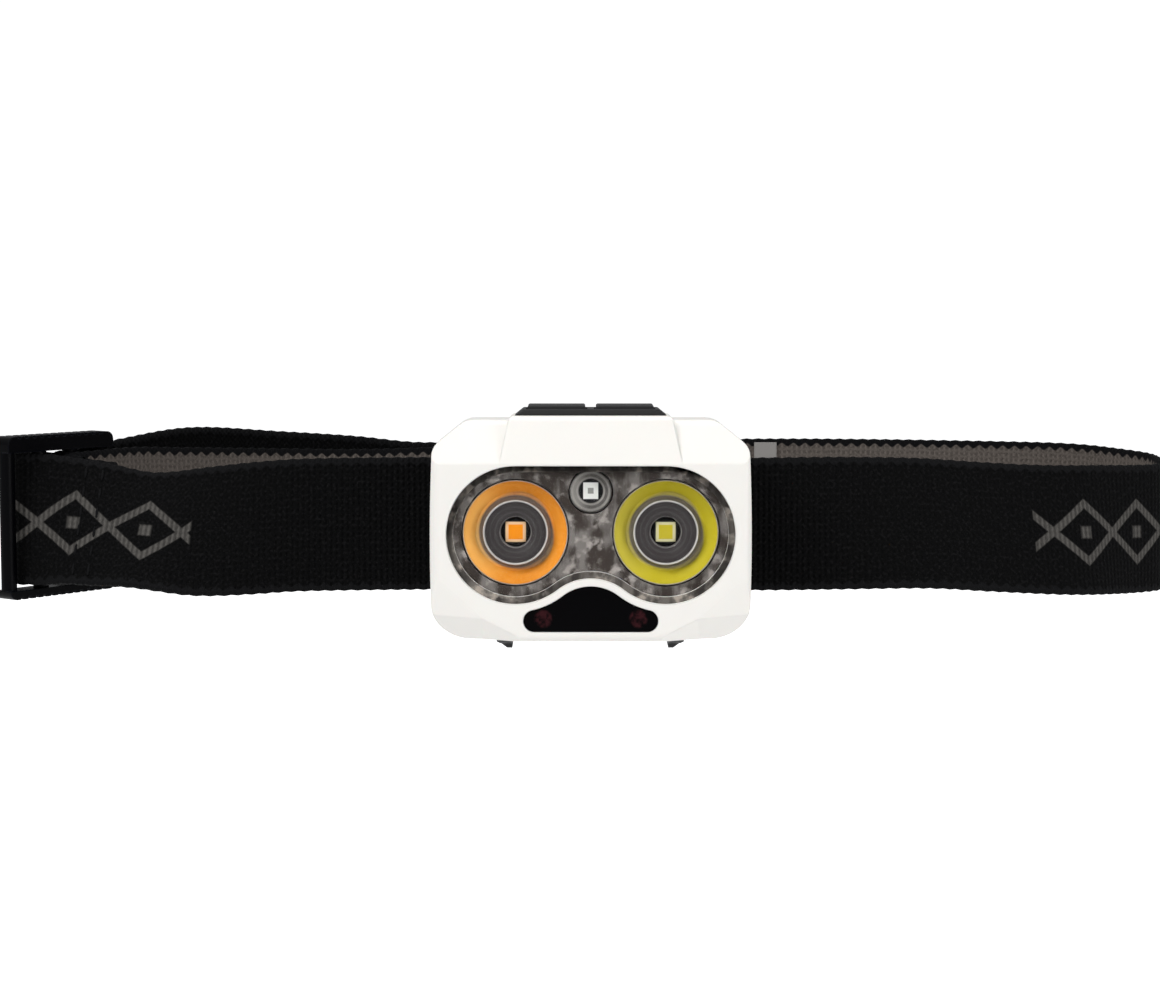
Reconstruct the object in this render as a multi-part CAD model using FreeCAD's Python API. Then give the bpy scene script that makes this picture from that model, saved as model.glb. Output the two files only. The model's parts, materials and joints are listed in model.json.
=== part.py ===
"""Sensor headlamp on an elastic headband, built piece by piece in millimetres.

+X is the wearer's left-to-right as seen by someone facing the lamp, -Y is the way the beam
points and +Z is up. The origin is the middle of the band's back face behind the bracket, the
place that lies on the forehead. Every piece is written to parts/NAME.step.
"""
import FreeCAD, Part
import math
import os
from FreeCAD import Vector

# ---- clearances -------------------------------------------------------------------------
SEAT_GAP = 0.10          # between pieces that are seated in each other
MOVE_GAP = 0.35          # between pieces that move past each other
PIN_GAP = 0.05           # running clearance of the hinge pin, on the radius
SOFT_GAP = 0.20          # between the band and the hard pieces it passes

# ---- headband ---------------------------------------------------------------------------
STRAP_W = 26.5           # webbing width
STRAP_T = 1.6            # webbing thickness
BAND_RIGHT = 121.5       # reach of the loop to the right
BAND_BACK = 64.0         # middle of the rear run behind the forehead face

# ---- bracket ----------------------------------------------------------------------------
PLATE_T = 2.4
PLATE_W = 55.0
PLATE_RIM = 3.4          # plate above and below the slots
SLOT_W = 5.8             # slot for the webbing
END_BAR = 3.0            # bar outside the slot

# ---- housing ----------------------------------------------------------------------------
HOUSING_W = 60.0
HOUSING_H = 42.0
HOUSING_Z = 1.5          # housing centre above the band's centre line
HOUSING_FRONT = 34.0     # front face ahead of the forehead face
COVER_DEPTH = 15.0       # white front cover
CASE_BACK = 6.8          # rear face of the case ahead of the forehead face
WALL = 1.8
FACE_WALL = 2.7          # front wall that holds the lens
CASE_INSET = 0.7         # rear case is this much smaller all round
BEVEL_TOP = 5.2          # how far the upper bevel leans back
BEVEL_LINE = 12.3        # height of the upper crease above the housing centre
SHOULDER_DROP = 0.8      # shoulders below the middle platform
PLATFORM_W = 34.0        # width of the raised middle platform at the crease
CORNER_R = 7.0           # lower outer corners

# ---- optics -----------------------------------------------------------------------------
LENS_R = 12.8            # rounded ends of the lens window
LENS_X = 14.0            # lens end centres left and right of the middle
LENS_Z = -1.0            # lens end centres relative to the housing centre
LENS_T = 1.2
LENS_SINK = 0.35         # lens below the front face
SEAL_T = 0.4
LEDGE = 1.1              # ledge that the lens and its seal sit on
WAIST_Z = -9.0           # highest point of the lens window's waist
OPTIC_R = 10.0           # collimators
OPTIC_X = 14.05
OPTIC_Z = -0.75
OPTIC_DEPTH = 10.6
OPTIC_BORE_R = 2.9       # pocket over the emitter
LED_SIZE = 3.5
LED_T = 0.8
SMALL_OPTIC_R = 4.1
SMALL_OPTIC_Z = 6.95
HOLDER_T = 1.5
HOLDER_TUBE = 1.0        # wall of the tubes around the collimators
LED_BOARD_T = 1.2

# ---- sensor window ----------------------------------------------------------------------
SENSOR_RIM = 1.6         # white rim between lens and sensor window
SENSOR_X = 10.5          # centres of its rounded ends
SENSOR_BOTTOM = -19.0
SENSOR_T = 1.3
DOME_R = 1.5
DOME_X = 8.85
DOME_Z = -16.6

# ---- buttons ----------------------------------------------------------------------------
BEZEL_W = 28.4
BEZEL_D = 8.6
BEZEL_H = 1.2
PAD_W = 10.8
PAD_D = 6.0
PAD_PROUD = 0.75
PAD_GAP_X = 2.0          # between the two pads
PAD_TRAVEL = 0.6
STEM_R = 1.4
SWITCH_SIZE = 4.5
SWITCH_H = 1.6

# ---- hinge ------------------------------------------------------------------------------
PIN_R = 1.0
EAR_R = 3.3
EAR_T = 3.0
EAR_DROP = 4.2           # lower edge of each ear below the pin
EAR_X = 15.2             # inner face of each ear
PIN_Y = -12.5
PIN_DROP = 21.0          # pin below the housing centre
LUG_R = 2.6
LUG_T = 5.6
WASHER_T = 0.5

# ---- inside -----------------------------------------------------------------------------
BATTERY = (36.0, 6.4, 26.0)
BATTERY_X = -3.0
FOAM_T = 0.8
BOARD_T = 1.0
SCREW_R = 1.0
SCREW_HEAD_R = 1.9
SCREW_X = 24.6
SCREW_Z = 12.0
PORT = (7.4, 3.2, 8.9)   # charging socket: depth into the case, thickness, height
PORT_Z = -2.0
FLAP = (1.5, 6.4, 13.0)  # rubber cover: thickness, width, height
KNUCKLE_R = 0.9

# ---- slider -----------------------------------------------------------------------------
BAR_T = 3.0              # thickness of the slider across the webbing
BAR_W = 3.0
BAR_SLOT = 5.0
RAIL_ABOVE = 3.2         # height of the slider's rail above the webbing
RAIL_BELOW = 1.8
SLIDE = 5.0              # travel each way
SLIDER_AT = (-116.5, -3.3)  # near end of the slider, seen from above
SLIDER_TURN = 52.0       # the slider stands at this angle to the front run
LAP = 8.0                # length of the sewn lap
LOOP_SLACK = 2.3         # how far the sewn loop stands off its bar
TAIL_END = -30.0
RIB_PITCH = 1.9

FRONT = -HOUSING_FRONT
SPLIT = FRONT + COVER_DEPTH
BACK = -CASE_BACK
DEEP = BACK + 12          # the housing's outline runs on past its rear face before it is cut
X, Y, Z = Vector(1, 0, 0), Vector(0, 1, 0), Vector(0, 0, 1)
BIG = 400.0


# ---- helpers ----------------------------------------------------------------------------
def box(x0, x1, y0, y1, z0, z1):
    """Box between three pairs of limits."""
    return Part.makeBox(x1 - x0, y1 - y0, z1 - z0, Vector(x0, y0, z0))


def rod(base, axis, radius, length):
    """Cylinder from a base point along an axis."""
    return Part.makeCylinder(radius, length, Vector(*base), axis)


def fuse_all(shapes):
    """One solid from several touching ones."""
    joined = shapes[0].multiFuse(shapes[1:]) if len(shapes) > 1 else shapes[0]
    return joined.removeSplitter()


def group(shapes):
    """Separate solids that share a node."""
    return Part.makeCompound([solid for shape in shapes for solid in shape.Solids])


def mirror_x(shape):
    """The same shape on the other side of the lamp."""
    return shape.mirror(Vector(0, 0, 0), X)


def place(plane, a, b):
    """Point of a sketch plane: XZ at y = 0, YZ at x = 0 or XY at z = 0."""
    return {"XZ": Vector(a, 0, b), "YZ": Vector(0, a, b), "XY": Vector(a, b, 0)}[plane]


def corner_arc(before, corner, after, radius):
    """Tangent points and middle of the arc that rounds one corner of a run."""
    back = (before - corner).normalize()
    ahead = (after - corner).normalize()
    half = back.getAngle(ahead) / 2
    reach = radius / math.tan(half)
    centre_way = (back + ahead).normalize()
    centre = corner + centre_way * (radius / math.sin(half))
    return corner + back * reach, centre - centre_way * radius, corner + ahead * reach


def rounded(plane, corners):
    """Closed wire through corners (a, b, radius), with tangent arcs at the rounded ones."""
    points = [place(plane, a, b) for a, b, _ in corners]
    stations = []
    for i, (_, _, radius) in enumerate(corners):
        if radius:
            stations.append(corner_arc(points[i - 1], points[i], points[(i + 1) % len(points)], radius))
        else:
            stations.append((points[i],))
    edges = []
    for i, station in enumerate(stations):
        if len(station) == 3:
            edges.append(Part.Arc(*station).toShape())
        start, end = station[-1], stations[(i + 1) % len(stations)][0]
        if start.distanceToPoint(end) > 1e-4:
            edges.append(Part.LineSegment(start, end).toShape())
    return Part.Wire(edges)


def prism(wire, way):
    """Solid swept from a closed planar wire along a vector."""
    return Part.Face(wire).extrude(way)


def grown(wire, by):
    """Planar wire moved outwards (or inwards, if negative) by an even distance."""
    return Part.Wire(Part.Face(wire).makeOffset2D(by).Wires[0].Edges) if by else wire


def half_space(point, outward):
    """Everything beyond a plane, as one large box."""
    slab = Part.makeBox(BIG, BIG, BIG, Vector(-BIG / 2, -BIG / 2, 0))
    slab.Placement = FreeCAD.Placement(point, FreeCAD.Rotation(Z, outward))
    return slab


def ribbon(run, thickness, z0, z1):
    """Upright band that follows an open run of (x, y, radius) points."""
    points = [Vector(x, y, 0) for x, y, _ in run]
    stations = [(points[0],)]
    for i in range(1, len(run) - 1):
        if run[i][2]:
            stations.append(corner_arc(points[i - 1], points[i], points[i + 1], run[i][2]))
        else:
            stations.append((points[i],))
    stations.append((points[-1],))

    def side(offset):
        """Edges of one face of the band, offset to the left of the run."""
        edges, last = [], None
        for i, station in enumerate(stations):
            way_in = (points[i] - points[i - 1]).normalize() if i else None
            way_out = (points[i + 1] - points[i]).normalize() if i + 1 < len(points) else way_in
            normals = [Z.cross(way) for way in (way_in or way_out, way_out)]
            middle = (normals[0] + normals[1]).normalize()
            if len(station) == 3:
                moved = [p + n * offset for p, n in zip(station, (normals[0], middle, normals[1]))]
            else:
                moved = [station[0] + middle * (offset / middle.dot(normals[0]))]
            if last is not None and last.distanceToPoint(moved[0]) > 1e-4:
                edges.append(Part.LineSegment(last, moved[0]).toShape())
            if len(moved) == 3:
                edges.append(Part.Arc(*moved).toShape())
            last = moved[-1]
        return edges

    left, right = side(thickness / 2), side(-thickness / 2)
    caps = []
    for i in (0, -1):
        a, b = left[i].Vertexes[i].Point, right[i].Vertexes[i].Point
        caps.append(Part.LineSegment(a, b).toShape())
    wire = Part.Wire(Part.__sortEdges__(left + right + caps))
    wire.translate(Vector(0, 0, z0))
    return prism(wire, Vector(0, 0, z1 - z0))


# ---- housing ----------------------------------------------------------------------------
def high(z):
    """Height above the origin of a height above the housing centre."""
    return HOUSING_Z + z


def front_outline(inset=0.0):
    """Housing seen from the front, in the plane y = 0."""
    w, h = HOUSING_W / 2, HOUSING_H / 2
    top = h - SHOULDER_DROP
    half = [(-w + 6.6, high(top), 4.5), (-w + 0.5, high(h - 5.7), 3.0), (-w - 0.1, high(-0.6), 300.0),
            (-w + 0.35, high(-h), CORNER_R)]
    corners = half + [(-a, b, r) for a, b, r in reversed(half)]
    return grown(rounded("XZ", corners), -inset)


def side_profile(inset=0.0):
    """Housing seen from the side: the upper bevel and softened front edges."""
    h = HOUSING_H / 2
    wire = rounded("YZ", [(FRONT, high(-h), 1.6), (FRONT, high(BEVEL_LINE), 0.8),
                          (FRONT + BEVEL_TOP, high(h - SHOULDER_DROP + 0.05), 2.5),
                          (DEEP, high(h - SHOULDER_DROP + 0.05), 0), (DEEP, high(-h), 0)])
    return grown(wire, -inset)


def plan_profile(inset=0.0):
    """Housing seen from above: rounded front edges."""
    w = HOUSING_W / 2 + 0.1
    wire = rounded("XY", [(-w, FRONT, 2.2), (w, FRONT, 2.2), (w, DEEP, 0), (-w, DEEP, 0)])
    return grown(wire, -inset)


def platform(inset=0.0):
    """Raised middle of the housing's top, with its own steeper bevel."""
    w, h = PLATFORM_W / 2, HOUSING_H / 2
    face = rounded("XZ", [(-w - 0.6, high(0), 0), (-w, high(BEVEL_LINE), 0), (-w + 1.8, high(h), 1.2),
                          (w - 1.8, high(h), 1.2), (w, high(BEVEL_LINE), 0), (w + 0.6, high(0), 0)])
    side = rounded("YZ", [(FRONT, high(0), 0), (FRONT, high(BEVEL_LINE), 0.8),
                          (FRONT + BEVEL_TOP - 1.8, high(h), 1.6), (DEEP, high(h), 0), (DEEP, high(0), 0)])
    front = prism(grown(face, -inset), Vector(0, DEEP - FRONT, 0))
    front.translate(Vector(0, FRONT, 0))
    across = prism(grown(side, -inset), Vector(HOUSING_W, 0, 0))
    across.translate(Vector(-HOUSING_W / 2, 0, 0))
    return front.common(across)


def corner_facets(inset=0.0):
    """Material taken off the two lower corners, as flat facets."""
    w, h = HOUSING_W / 2, HOUSING_H / 2
    knee = Vector(-w + 9.9, FRONT, high(-h + 4.4))
    under = Vector(-0.16, -0.69, -0.71).normalize()
    beside = Vector(-0.34, -0.66, -0.67).normalize()
    scoop = half_space(knee - under * inset, under).common(half_space(knee - beside * inset, beside))
    slope = Vector(-0.17, -0.96, -0.19).normalize()
    bevel = half_space(Vector(-w + 6, FRONT, high(-h + 7.9)) - slope * inset, slope)
    cut = scoop.fuse(bevel)
    return [cut, mirror_x(cut)]


def housing_core(inset=0.0):
    """Outer shape of the whole housing, or its inside when inset by a wall."""
    front = prism(front_outline(inset), Vector(0, DEEP - FRONT, 0))
    front.translate(Vector(0, FRONT, 0))
    side = prism(side_profile(inset), Vector(HOUSING_W + 2, 0, 0))
    side.translate(Vector(-HOUSING_W / 2 - 1, 0, 0))
    plan = prism(plan_profile(inset), Vector(0, 0, HOUSING_H + 4))
    plan.translate(Vector(0, 0, high(-HOUSING_H / 2 - 2)))
    return front.common(side).common(plan).fuse(platform(inset)).cut(corner_facets(inset))


def goggle(grow=0.0):
    """Lens window outline: two rounded ends, straight top and a waist below."""
    rise = LENS_Z - WAIST_Z
    waist_r = (LENS_X ** 2 + rise ** 2 - LENS_R ** 2) / (2 * (LENS_R - rise))
    waist = Vector(0, 0, WAIST_Z - waist_r)
    lobe = Vector(LENS_X, 0, LENS_Z)
    way = (lobe - waist).normalize()
    r = LENS_R + grow
    join = waist + way * (waist_r - grow)
    low = math.atan2(-way.z, -way.x)
    middle = (math.pi / 2 + low) / 2
    side = lobe + Vector(r * math.cos(middle), 0, r * math.sin(middle))
    top = lobe + Vector(0, 0, r)
    flip = [Vector(-p.x, 0, p.z) for p in (top, side, join)]
    crest = waist + Z * (waist_r - grow)
    wire = Part.Wire([Part.LineSegment(flip[0], top).toShape(), Part.Arc(top, side, join).toShape(),
                      Part.Arc(join, crest, flip[2]).toShape(),
                      Part.Arc(flip[2], flip[1], flip[0]).toShape()])
    wire.translate(Vector(0, 0, HOUSING_Z))
    return wire


def brow(grow=0.0):
    """Sensor window outline: flat below, following the lens window above."""
    rise = LENS_Z - WAIST_Z
    waist_r = (LENS_X ** 2 + rise ** 2 - LENS_R ** 2) / (2 * (LENS_R - rise))
    waist = Vector(0, 0, WAIST_Z - waist_r)
    lobe = Vector(LENS_X, 0, LENS_Z)
    outer = LENS_R + SENSOR_RIM
    reach, drop = LENS_X - SENSOR_X, LENS_Z - SENSOR_BOTTOM
    end_r = (reach ** 2 + drop ** 2 - outer ** 2) / (2 * (outer + drop))
    end = Vector(SENSOR_X, 0, SENSOR_BOTTOM + end_r)
    way = (lobe - waist).normalize()
    crest = waist + Z * (waist_r - SENSOR_RIM + grow)
    join = waist + way * (waist_r - SENSOR_RIM + grow)
    to_end = (end - lobe).normalize()
    meet = lobe + to_end * (outer - grow)
    between = lobe + ((join - lobe).normalize() + to_end).normalize() * (outer - grow)
    foot = end - Z * (end_r + grow)
    side = end + (X * 2 + Z * 0.2).normalize() * (end_r + grow)
    right = [join, between, meet, side, foot]
    left = [Vector(-p.x, 0, p.z) for p in right]
    wire = Part.Wire([Part.Arc(left[0], crest, right[0]).toShape(), Part.Arc(*right[:3]).toShape(),
                      Part.Arc(*right[2:]).toShape(), Part.LineSegment(right[4], left[4]).toShape(),
                      Part.Arc(left[4], left[3], left[2]).toShape(), Part.Arc(*left[2::-1]).toShape()])
    wire.translate(Vector(0, 0, HOUSING_Z))
    return wire


def plate(wire, y0, y1):
    """Flat piece with an outline in the XZ plane, between two depths."""
    moved = wire.copy()
    moved.translate(Vector(0, y0, 0))
    return prism(moved, Vector(0, y1 - y0, 0))


LENS_FACE = FRONT + LENS_SINK
LENS_BACK = LENS_FACE + LENS_T
SEAL_BACK = LENS_BACK + SEAL_T
HOLDER_Y = FRONT + FACE_WALL + SEAT_GAP
BOARD_Y = HOLDER_Y + OPTIC_DEPTH + 0.4
BUTTON_Y = (FRONT + BEVEL_TOP + SPLIT) / 2 - 0.6
ROOF = high(HOUSING_H / 2)


def screw_sites():
    """The four case screws, as (x, z)."""
    return [(sx * SCREW_X, high(sz * SCREW_Z)) for sx in (-1, 1) for sz in (-1, 1)]


def front_cover():
    """White cover with the lens and sensor openings, button window and screw bosses."""
    room = housing_core(WALL).common(box(-BIG, BIG, FRONT + FACE_WALL, BIG, -BIG, BIG))
    shell = housing_core().cut(room).common(box(-BIG, BIG, FRONT - 1, SPLIT, -BIG, BIG))
    cuts = [plate(goggle(SEAT_GAP), FRONT - 1, SEAL_BACK), plate(goggle(-LEDGE), FRONT - 1, FRONT + 6),
            plate(brow(SEAT_GAP), FRONT - 1, FRONT + SENSOR_T + 0.2),
            plate(brow(-0.7), FRONT - 1, FRONT + 6)]
    for side in (-1, 1):
        cuts.append(rod((side * (PAD_W + PAD_GAP_X) / 2, BUTTON_Y, ROOF - 8), Z, STEM_R + MOVE_GAP, 12))
    bosses = [rod((x, FRONT + FACE_WALL - 1, z), Y, 2.6, SPLIT - FRONT - FACE_WALL + 1)
              for x, z in screw_sites()]
    shell = fuse_all([shell] + [b.common(housing_core(0.6)) for b in bosses])
    cuts += [rod((x, SPLIT - 8, z), Y, SCREW_R, 9) for x, z in screw_sites()]
    return shell.cut(cuts)


def rear_case():
    """Black rear half with a stepped bottom over the hinge, two lugs and the port window."""
    step = box(-BIG, BIG, SPLIT + 2.2, BIG, -BIG, high(-HOUSING_H / 2 + 5.4))
    outer = housing_core(CASE_INSET).cut(step).common(box(-BIG, BIG, SPLIT + 0.7, BACK, -BIG, BIG))
    inner_step = box(-BIG, BIG, SPLIT + 2.2 - WALL, BIG, -BIG, high(-HOUSING_H / 2 + 5.4 + WALL))
    room = housing_core(CASE_INSET + WALL).cut(inner_step)
    room = room.common(box(-BIG, BIG, -BIG, BACK - WALL, -BIG, BIG))
    posts = [rod((x, SPLIT + 0.7, z), Y, 2.6, BACK - SPLIT - 1.2).common(outer) for x, z in screw_sites()]
    lugs = []
    bottom = high(-HOUSING_H / 2 + 5.4)
    for side in (-1, 1):
        outer_x = EAR_X - WASHER_T - 2 * SEAT_GAP
        x0 = min(side * outer_x, side * (outer_x - LUG_T))
        lug = rod((x0, PIN_Y, high(-PIN_DROP)), X, LUG_R, LUG_T)
        web = box(x0, x0 + LUG_T, PIN_Y - LUG_R, PIN_Y + LUG_R, high(-PIN_DROP), bottom + 0.5)
        lugs.append(lug.fuse(web).cut(rod((x0 - 1, PIN_Y, high(-PIN_DROP)), X, PIN_R + PIN_GAP, LUG_T + 2)))
    case = fuse_all([outer.cut(room)] + posts + lugs)
    cuts = [rod((x, SPLIT, z), Y, SCREW_R + 0.15, 20) for x, z in screw_sites()]
    cuts += [rod((x, BACK - 2.4, z), Y, SCREW_HEAD_R + 0.2, 3) for x, z in screw_sites()]
    cuts += [port_room(), flap_room(), light_bore()]
    return case.cut(cuts)


PORT_Y = (SPLIT + BACK) / 2 + 0.2
SIDE_X = HOUSING_W / 2 - CASE_INSET


def port_room():
    """Hole for the charging socket in the case's right wall."""
    _, t, h = PORT
    return box(SIDE_X - 6, SIDE_X + 3, PORT_Y - t / 2 - 0.2, PORT_Y + t / 2 + 0.2,
               high(PORT_Z) - h / 2 - 0.2, high(PORT_Z) + h / 2 + 0.2)


def flap_room():
    """Shallow seat that the rubber cover closes."""
    t, w, h = FLAP
    return box(SIDE_X - t, SIDE_X + 3, PORT_Y - w / 2 - MOVE_GAP - 2 * KNUCKLE_R, PORT_Y + w / 2 + MOVE_GAP,
               high(PORT_Z) - h / 2 - MOVE_GAP, high(PORT_Z) + h / 2 + MOVE_GAP)


LIGHT_Z = PORT_Z + FLAP[2] / 2 + 3.4


def light_bore():
    """Hole for the charge light in the right wall."""
    return rod((SIDE_X - 5, PORT_Y, high(LIGHT_Z)), X, 0.9 + SEAT_GAP, 9)


FLAP_AXIS_Y = PORT_Y - FLAP[1] / 2 - KNUCKLE_R


def usb_cover():
    """Rubber port cover with its rolled hinge edge and a plug that fills the socket's mouth."""
    t, w, h = FLAP
    x0 = SIDE_X - t + 0.3
    lid = box(x0, x0 + t - 0.1, PORT_Y - w / 2 - KNUCKLE_R / 2, PORT_Y + w / 2, high(PORT_Z) - h / 2,
              high(PORT_Z) + h / 2)
    long_edges = [e for e in lid.Edges if abs(e.tangentAt(e.FirstParameter).z) > 0.9
                  and e.CenterOfMass.y > PORT_Y]
    lid = lid.makeFillet(0.5, long_edges)
    roll = rod((x0 + KNUCKLE_R, FLAP_AXIS_Y, high(PORT_Z) - h / 2), Z, KNUCKLE_R, h)
    lip = box(SIDE_X + 0.1, SIDE_X + 0.9, PORT_Y + w / 2 - 1.4, PORT_Y + w / 2 - 0.5, high(PORT_Z) - 2.5,
              high(PORT_Z) + 2.5)
    return fuse_all([lid, roll, lip])


def usb_socket():
    """Metal charging socket on the main board, opening to the right."""
    d, t, h = PORT
    x1 = SIDE_X - FLAP[0] - 0.1
    shape = rounded("YZ", [(PORT_Y + sy * t / 2, high(PORT_Z) + sz * h / 2, t * 0.42)
                           for sy, sz in ((-1, -1), (1, -1), (1, 1), (-1, 1))])
    shape.translate(Vector(x1 - d, 0, 0))
    hollow = grown(shape, -0.3)
    hollow.translate(Vector(1.2, 0, 0))
    tongue = box(x1 - d, x1 - 1.5, PORT_Y - 0.35, PORT_Y + 0.35, high(PORT_Z) - 3.3, high(PORT_Z) + 3.3)
    return fuse_all([prism(shape, X * d).cut(prism(hollow, X * d)), tongue])


def charge_light():
    """Small clear pin that carries the charge light through the wall."""
    return rod((SIDE_X - 4, PORT_Y, high(LIGHT_Z)), X, 0.9, 4.0)


def case_seal():
    """Flat ring between cover and case."""
    outer, inner = front_outline(CASE_INSET + 0.3), front_outline(WALL + 0.1)
    ring = plate(outer, SPLIT + 0.1, SPLIT + 0.6).cut(plate(inner, SPLIT, SPLIT + 1)).cut(corner_facets(1.0))
    return ring.cut([rod((x, SPLIT - 1, z), Y, 2.0, 3) for x, z in screw_sites()])


def case_screws():
    """Four pan-head screws that hold the case to the cover."""
    screws = []
    for x, z in screw_sites():
        shank = rod((x, SPLIT - 7, z), Y, SCREW_R - 0.02, BACK - 2.3 - SPLIT + 7)
        head = rod((x, BACK - 2.3, z), Y, SCREW_HEAD_R, 1.3)
        slots = [box(x - a, x + a, BACK - 1.6, BACK, z - b, z + b) for a, b in ((1.1, 0.25), (0.25, 1.1))]
        screws.append(fuse_all([shank, head]).cut(slots))
    return group(screws)


# ---- optics -----------------------------------------------------------------------------
def lens_window():
    """Clear window over the optics."""
    return plate(goggle(), LENS_FACE, LENS_BACK)


def lens_seal():
    """Soft ring behind the lens, against the ledge."""
    return plate(goggle(0), LENS_BACK, SEAL_BACK - 0.02).cut(plate(goggle(-LEDGE), FRONT, FRONT + 9))


def optic_sites():
    """Middles of the two main optics, left then right."""
    return [Vector(side * OPTIC_X, 0, high(OPTIC_Z)) for side in (-1, 1)]


def optics_holder():
    """Dark frame that carries the collimators in tubes and the small lens between them."""
    face = plate(goggle(-0.4), HOLDER_Y, HOLDER_Y + HOLDER_T)
    tubes = [rod((c.x, HOLDER_Y, c.z), Y, OPTIC_R + SEAT_GAP + HOLDER_TUBE, BOARD_Y - HOLDER_Y - SEAT_GAP)
             for c in optic_sites()]
    holes = [rod((c.x, HOLDER_Y - 1, c.z), Y, OPTIC_R + SEAT_GAP, 20) for c in optic_sites()]
    sleeve = rod((0, HOLDER_Y, high(SMALL_OPTIC_Z)), Y, SMALL_OPTIC_R + 0.9, BOARD_Y - HOLDER_Y - SEAT_GAP)
    holes.append(rod((0, HOLDER_Y - 1, high(SMALL_OPTIC_Z)), Y, SMALL_OPTIC_R + SEAT_GAP, 20))
    return fuse_all([face, sleeve] + tubes).cut(holes)


def collimator(site):
    """Turned clear optic: flange, reflecting cone and a pocket over the emitter."""
    y0 = HOLDER_Y
    depth = OPTIC_DEPTH
    outline = [(0, y0 + 3.2), (OPTIC_BORE_R, y0 + 3.2), (OPTIC_BORE_R + 0.3, y0 + 0.5),
               (OPTIC_R * 0.62, y0 + 0.25), (OPTIC_R * 0.66, y0), (OPTIC_R, y0), (OPTIC_R, y0 + 1.2),
               (OPTIC_R * 0.93, y0 + 1.6), (OPTIC_R * 0.83, y0 + depth * 0.45),
               (OPTIC_R * 0.66, y0 + depth * 0.72),
               (OPTIC_R * 0.44, y0 + depth), (OPTIC_BORE_R, y0 + depth), (OPTIC_BORE_R, y0 + depth - 3.6),
               (0, y0 + depth - 4.2)]
    points = [Vector(r, y, 0) for r, y in outline]
    wire = Part.makePolygon(points + points[:1])
    body = Part.Face(wire).revolve(Vector(0, 0, 0), Y, 360)
    body.translate(site)
    return body


def led(site):
    """Emitter: square package with a raised phosphor tile."""
    half = LED_SIZE / 2
    base = box(site.x - half, site.x + half, BOARD_Y - LED_T, BOARD_Y, site.z - half, site.z + half)
    tile = box(site.x - 1.1, site.x + 1.1, BOARD_Y - LED_T - 0.25, BOARD_Y, site.z - 1.1, site.z + 1.1)
    return fuse_all([base, tile])


def centre_lens():
    """Small clear lens between the collimators: a stepped disc with a window."""
    z = high(SMALL_OPTIC_Z)
    disc = rod((0, HOLDER_Y, z), Y, SMALL_OPTIC_R, 2.4)
    return disc.cut(rod((0, HOLDER_Y - 1, z), Y, SMALL_OPTIC_R * 0.62, 1.9))


def centre_led():
    """Small emitter behind the centre lens, on a spacer so that it sits close to it."""
    z = high(SMALL_OPTIC_Z)
    post = box(-1.8, 1.8, HOLDER_Y + 3.6, BOARD_Y, z - 1.9, z + 1.9)
    tile = box(-1.4, 1.4, HOLDER_Y + 2.9, HOLDER_Y + 3.6, z - 1.55, z + 1.55)
    return fuse_all([post, tile])


def led_board():
    """Metal-core board that carries the emitters."""
    outline = rounded("XZ", [(sx * 23.5, high(sz * 9.5 - 0.5), 5)
                             for sx, sz in ((-1, -1), (1, -1), (1, 1), (-1, 1))])
    return plate(outline, BOARD_Y, BOARD_Y + LED_BOARD_T)


def sensor_window():
    """Dark window below the lens."""
    return plate(brow(), FRONT + 0.15, FRONT + 0.15 + SENSOR_T)


SENSOR_BOARD_Y = FRONT + 7.4


def dome(side):
    """Round-nosed infrared part behind the sensor window."""
    x, z, y0 = side * DOME_X, high(DOME_Z), FRONT + SENSOR_T + 0.6
    nose = Part.makeSphere(DOME_R, Vector(x, y0 + DOME_R, z))
    barrel = rod((x, y0 + DOME_R, z), Y, DOME_R, SENSOR_BOARD_Y - y0 - DOME_R)
    flange = rod((x, SENSOR_BOARD_Y - 1, z), Y, DOME_R + 0.3, 1)
    return fuse_all([nose, barrel, flange])


def sensor_board():
    """Small board behind the infrared parts."""
    return box(-12, 12, SENSOR_BOARD_Y, SENSOR_BOARD_Y + BOARD_T, high(-18.6), high(-14.2))


# ---- buttons ----------------------------------------------------------------------------
def pad_x(side):
    """Middle of one pad."""
    return side * (PAD_W + PAD_GAP_X) / 2


def button_bezel():
    """Rubber frame on top of the housing, with sloping ends and two windows."""
    w = BEZEL_W / 2
    top = ROOF + BEZEL_H
    ramp = rounded("XZ", [(-w, ROOF, 0), (w, ROOF, 0), (w - 1.5, top, 0.6), (-w + 1.5, top, 0.6)])
    body = plate(ramp, BUTTON_Y - BEZEL_D / 2, BUTTON_Y + BEZEL_D / 2)
    windows = [box(pad_x(s) - PAD_W / 2 - MOVE_GAP, pad_x(s) + PAD_W / 2 + MOVE_GAP,
                   BUTTON_Y - PAD_D / 2 - MOVE_GAP,
                   BUTTON_Y + PAD_D / 2 + MOVE_GAP, ROOF - 1, ROOF + 5) for s in (-1, 1)]
    return body.cut(windows)


def button(side):
    """One rubber pad with its stem."""
    x0, x1 = pad_x(side) - PAD_W / 2, pad_x(side) + PAD_W / 2
    low, top = ROOF + PAD_TRAVEL + 0.15, ROOF + BEZEL_H + PAD_PROUD
    pad = box(x0, x1, BUTTON_Y - PAD_D / 2, BUTTON_Y + PAD_D / 2, low, top)
    rim = [e for e in pad.Edges if abs(e.CenterOfMass.z - top) < 1e-6]
    pad = pad.makeFillet(0.4, rim)
    tip = SWITCH_TOP + 0.9
    return fuse_all([pad, rod((pad_x(side), BUTTON_Y, tip), Z, STEM_R, low - tip + 0.2)])


SWITCH_BOARD_Z = ROOF - 6.6
SWITCH_TOP = SWITCH_BOARD_Z + BOARD_T + SWITCH_H


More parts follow.
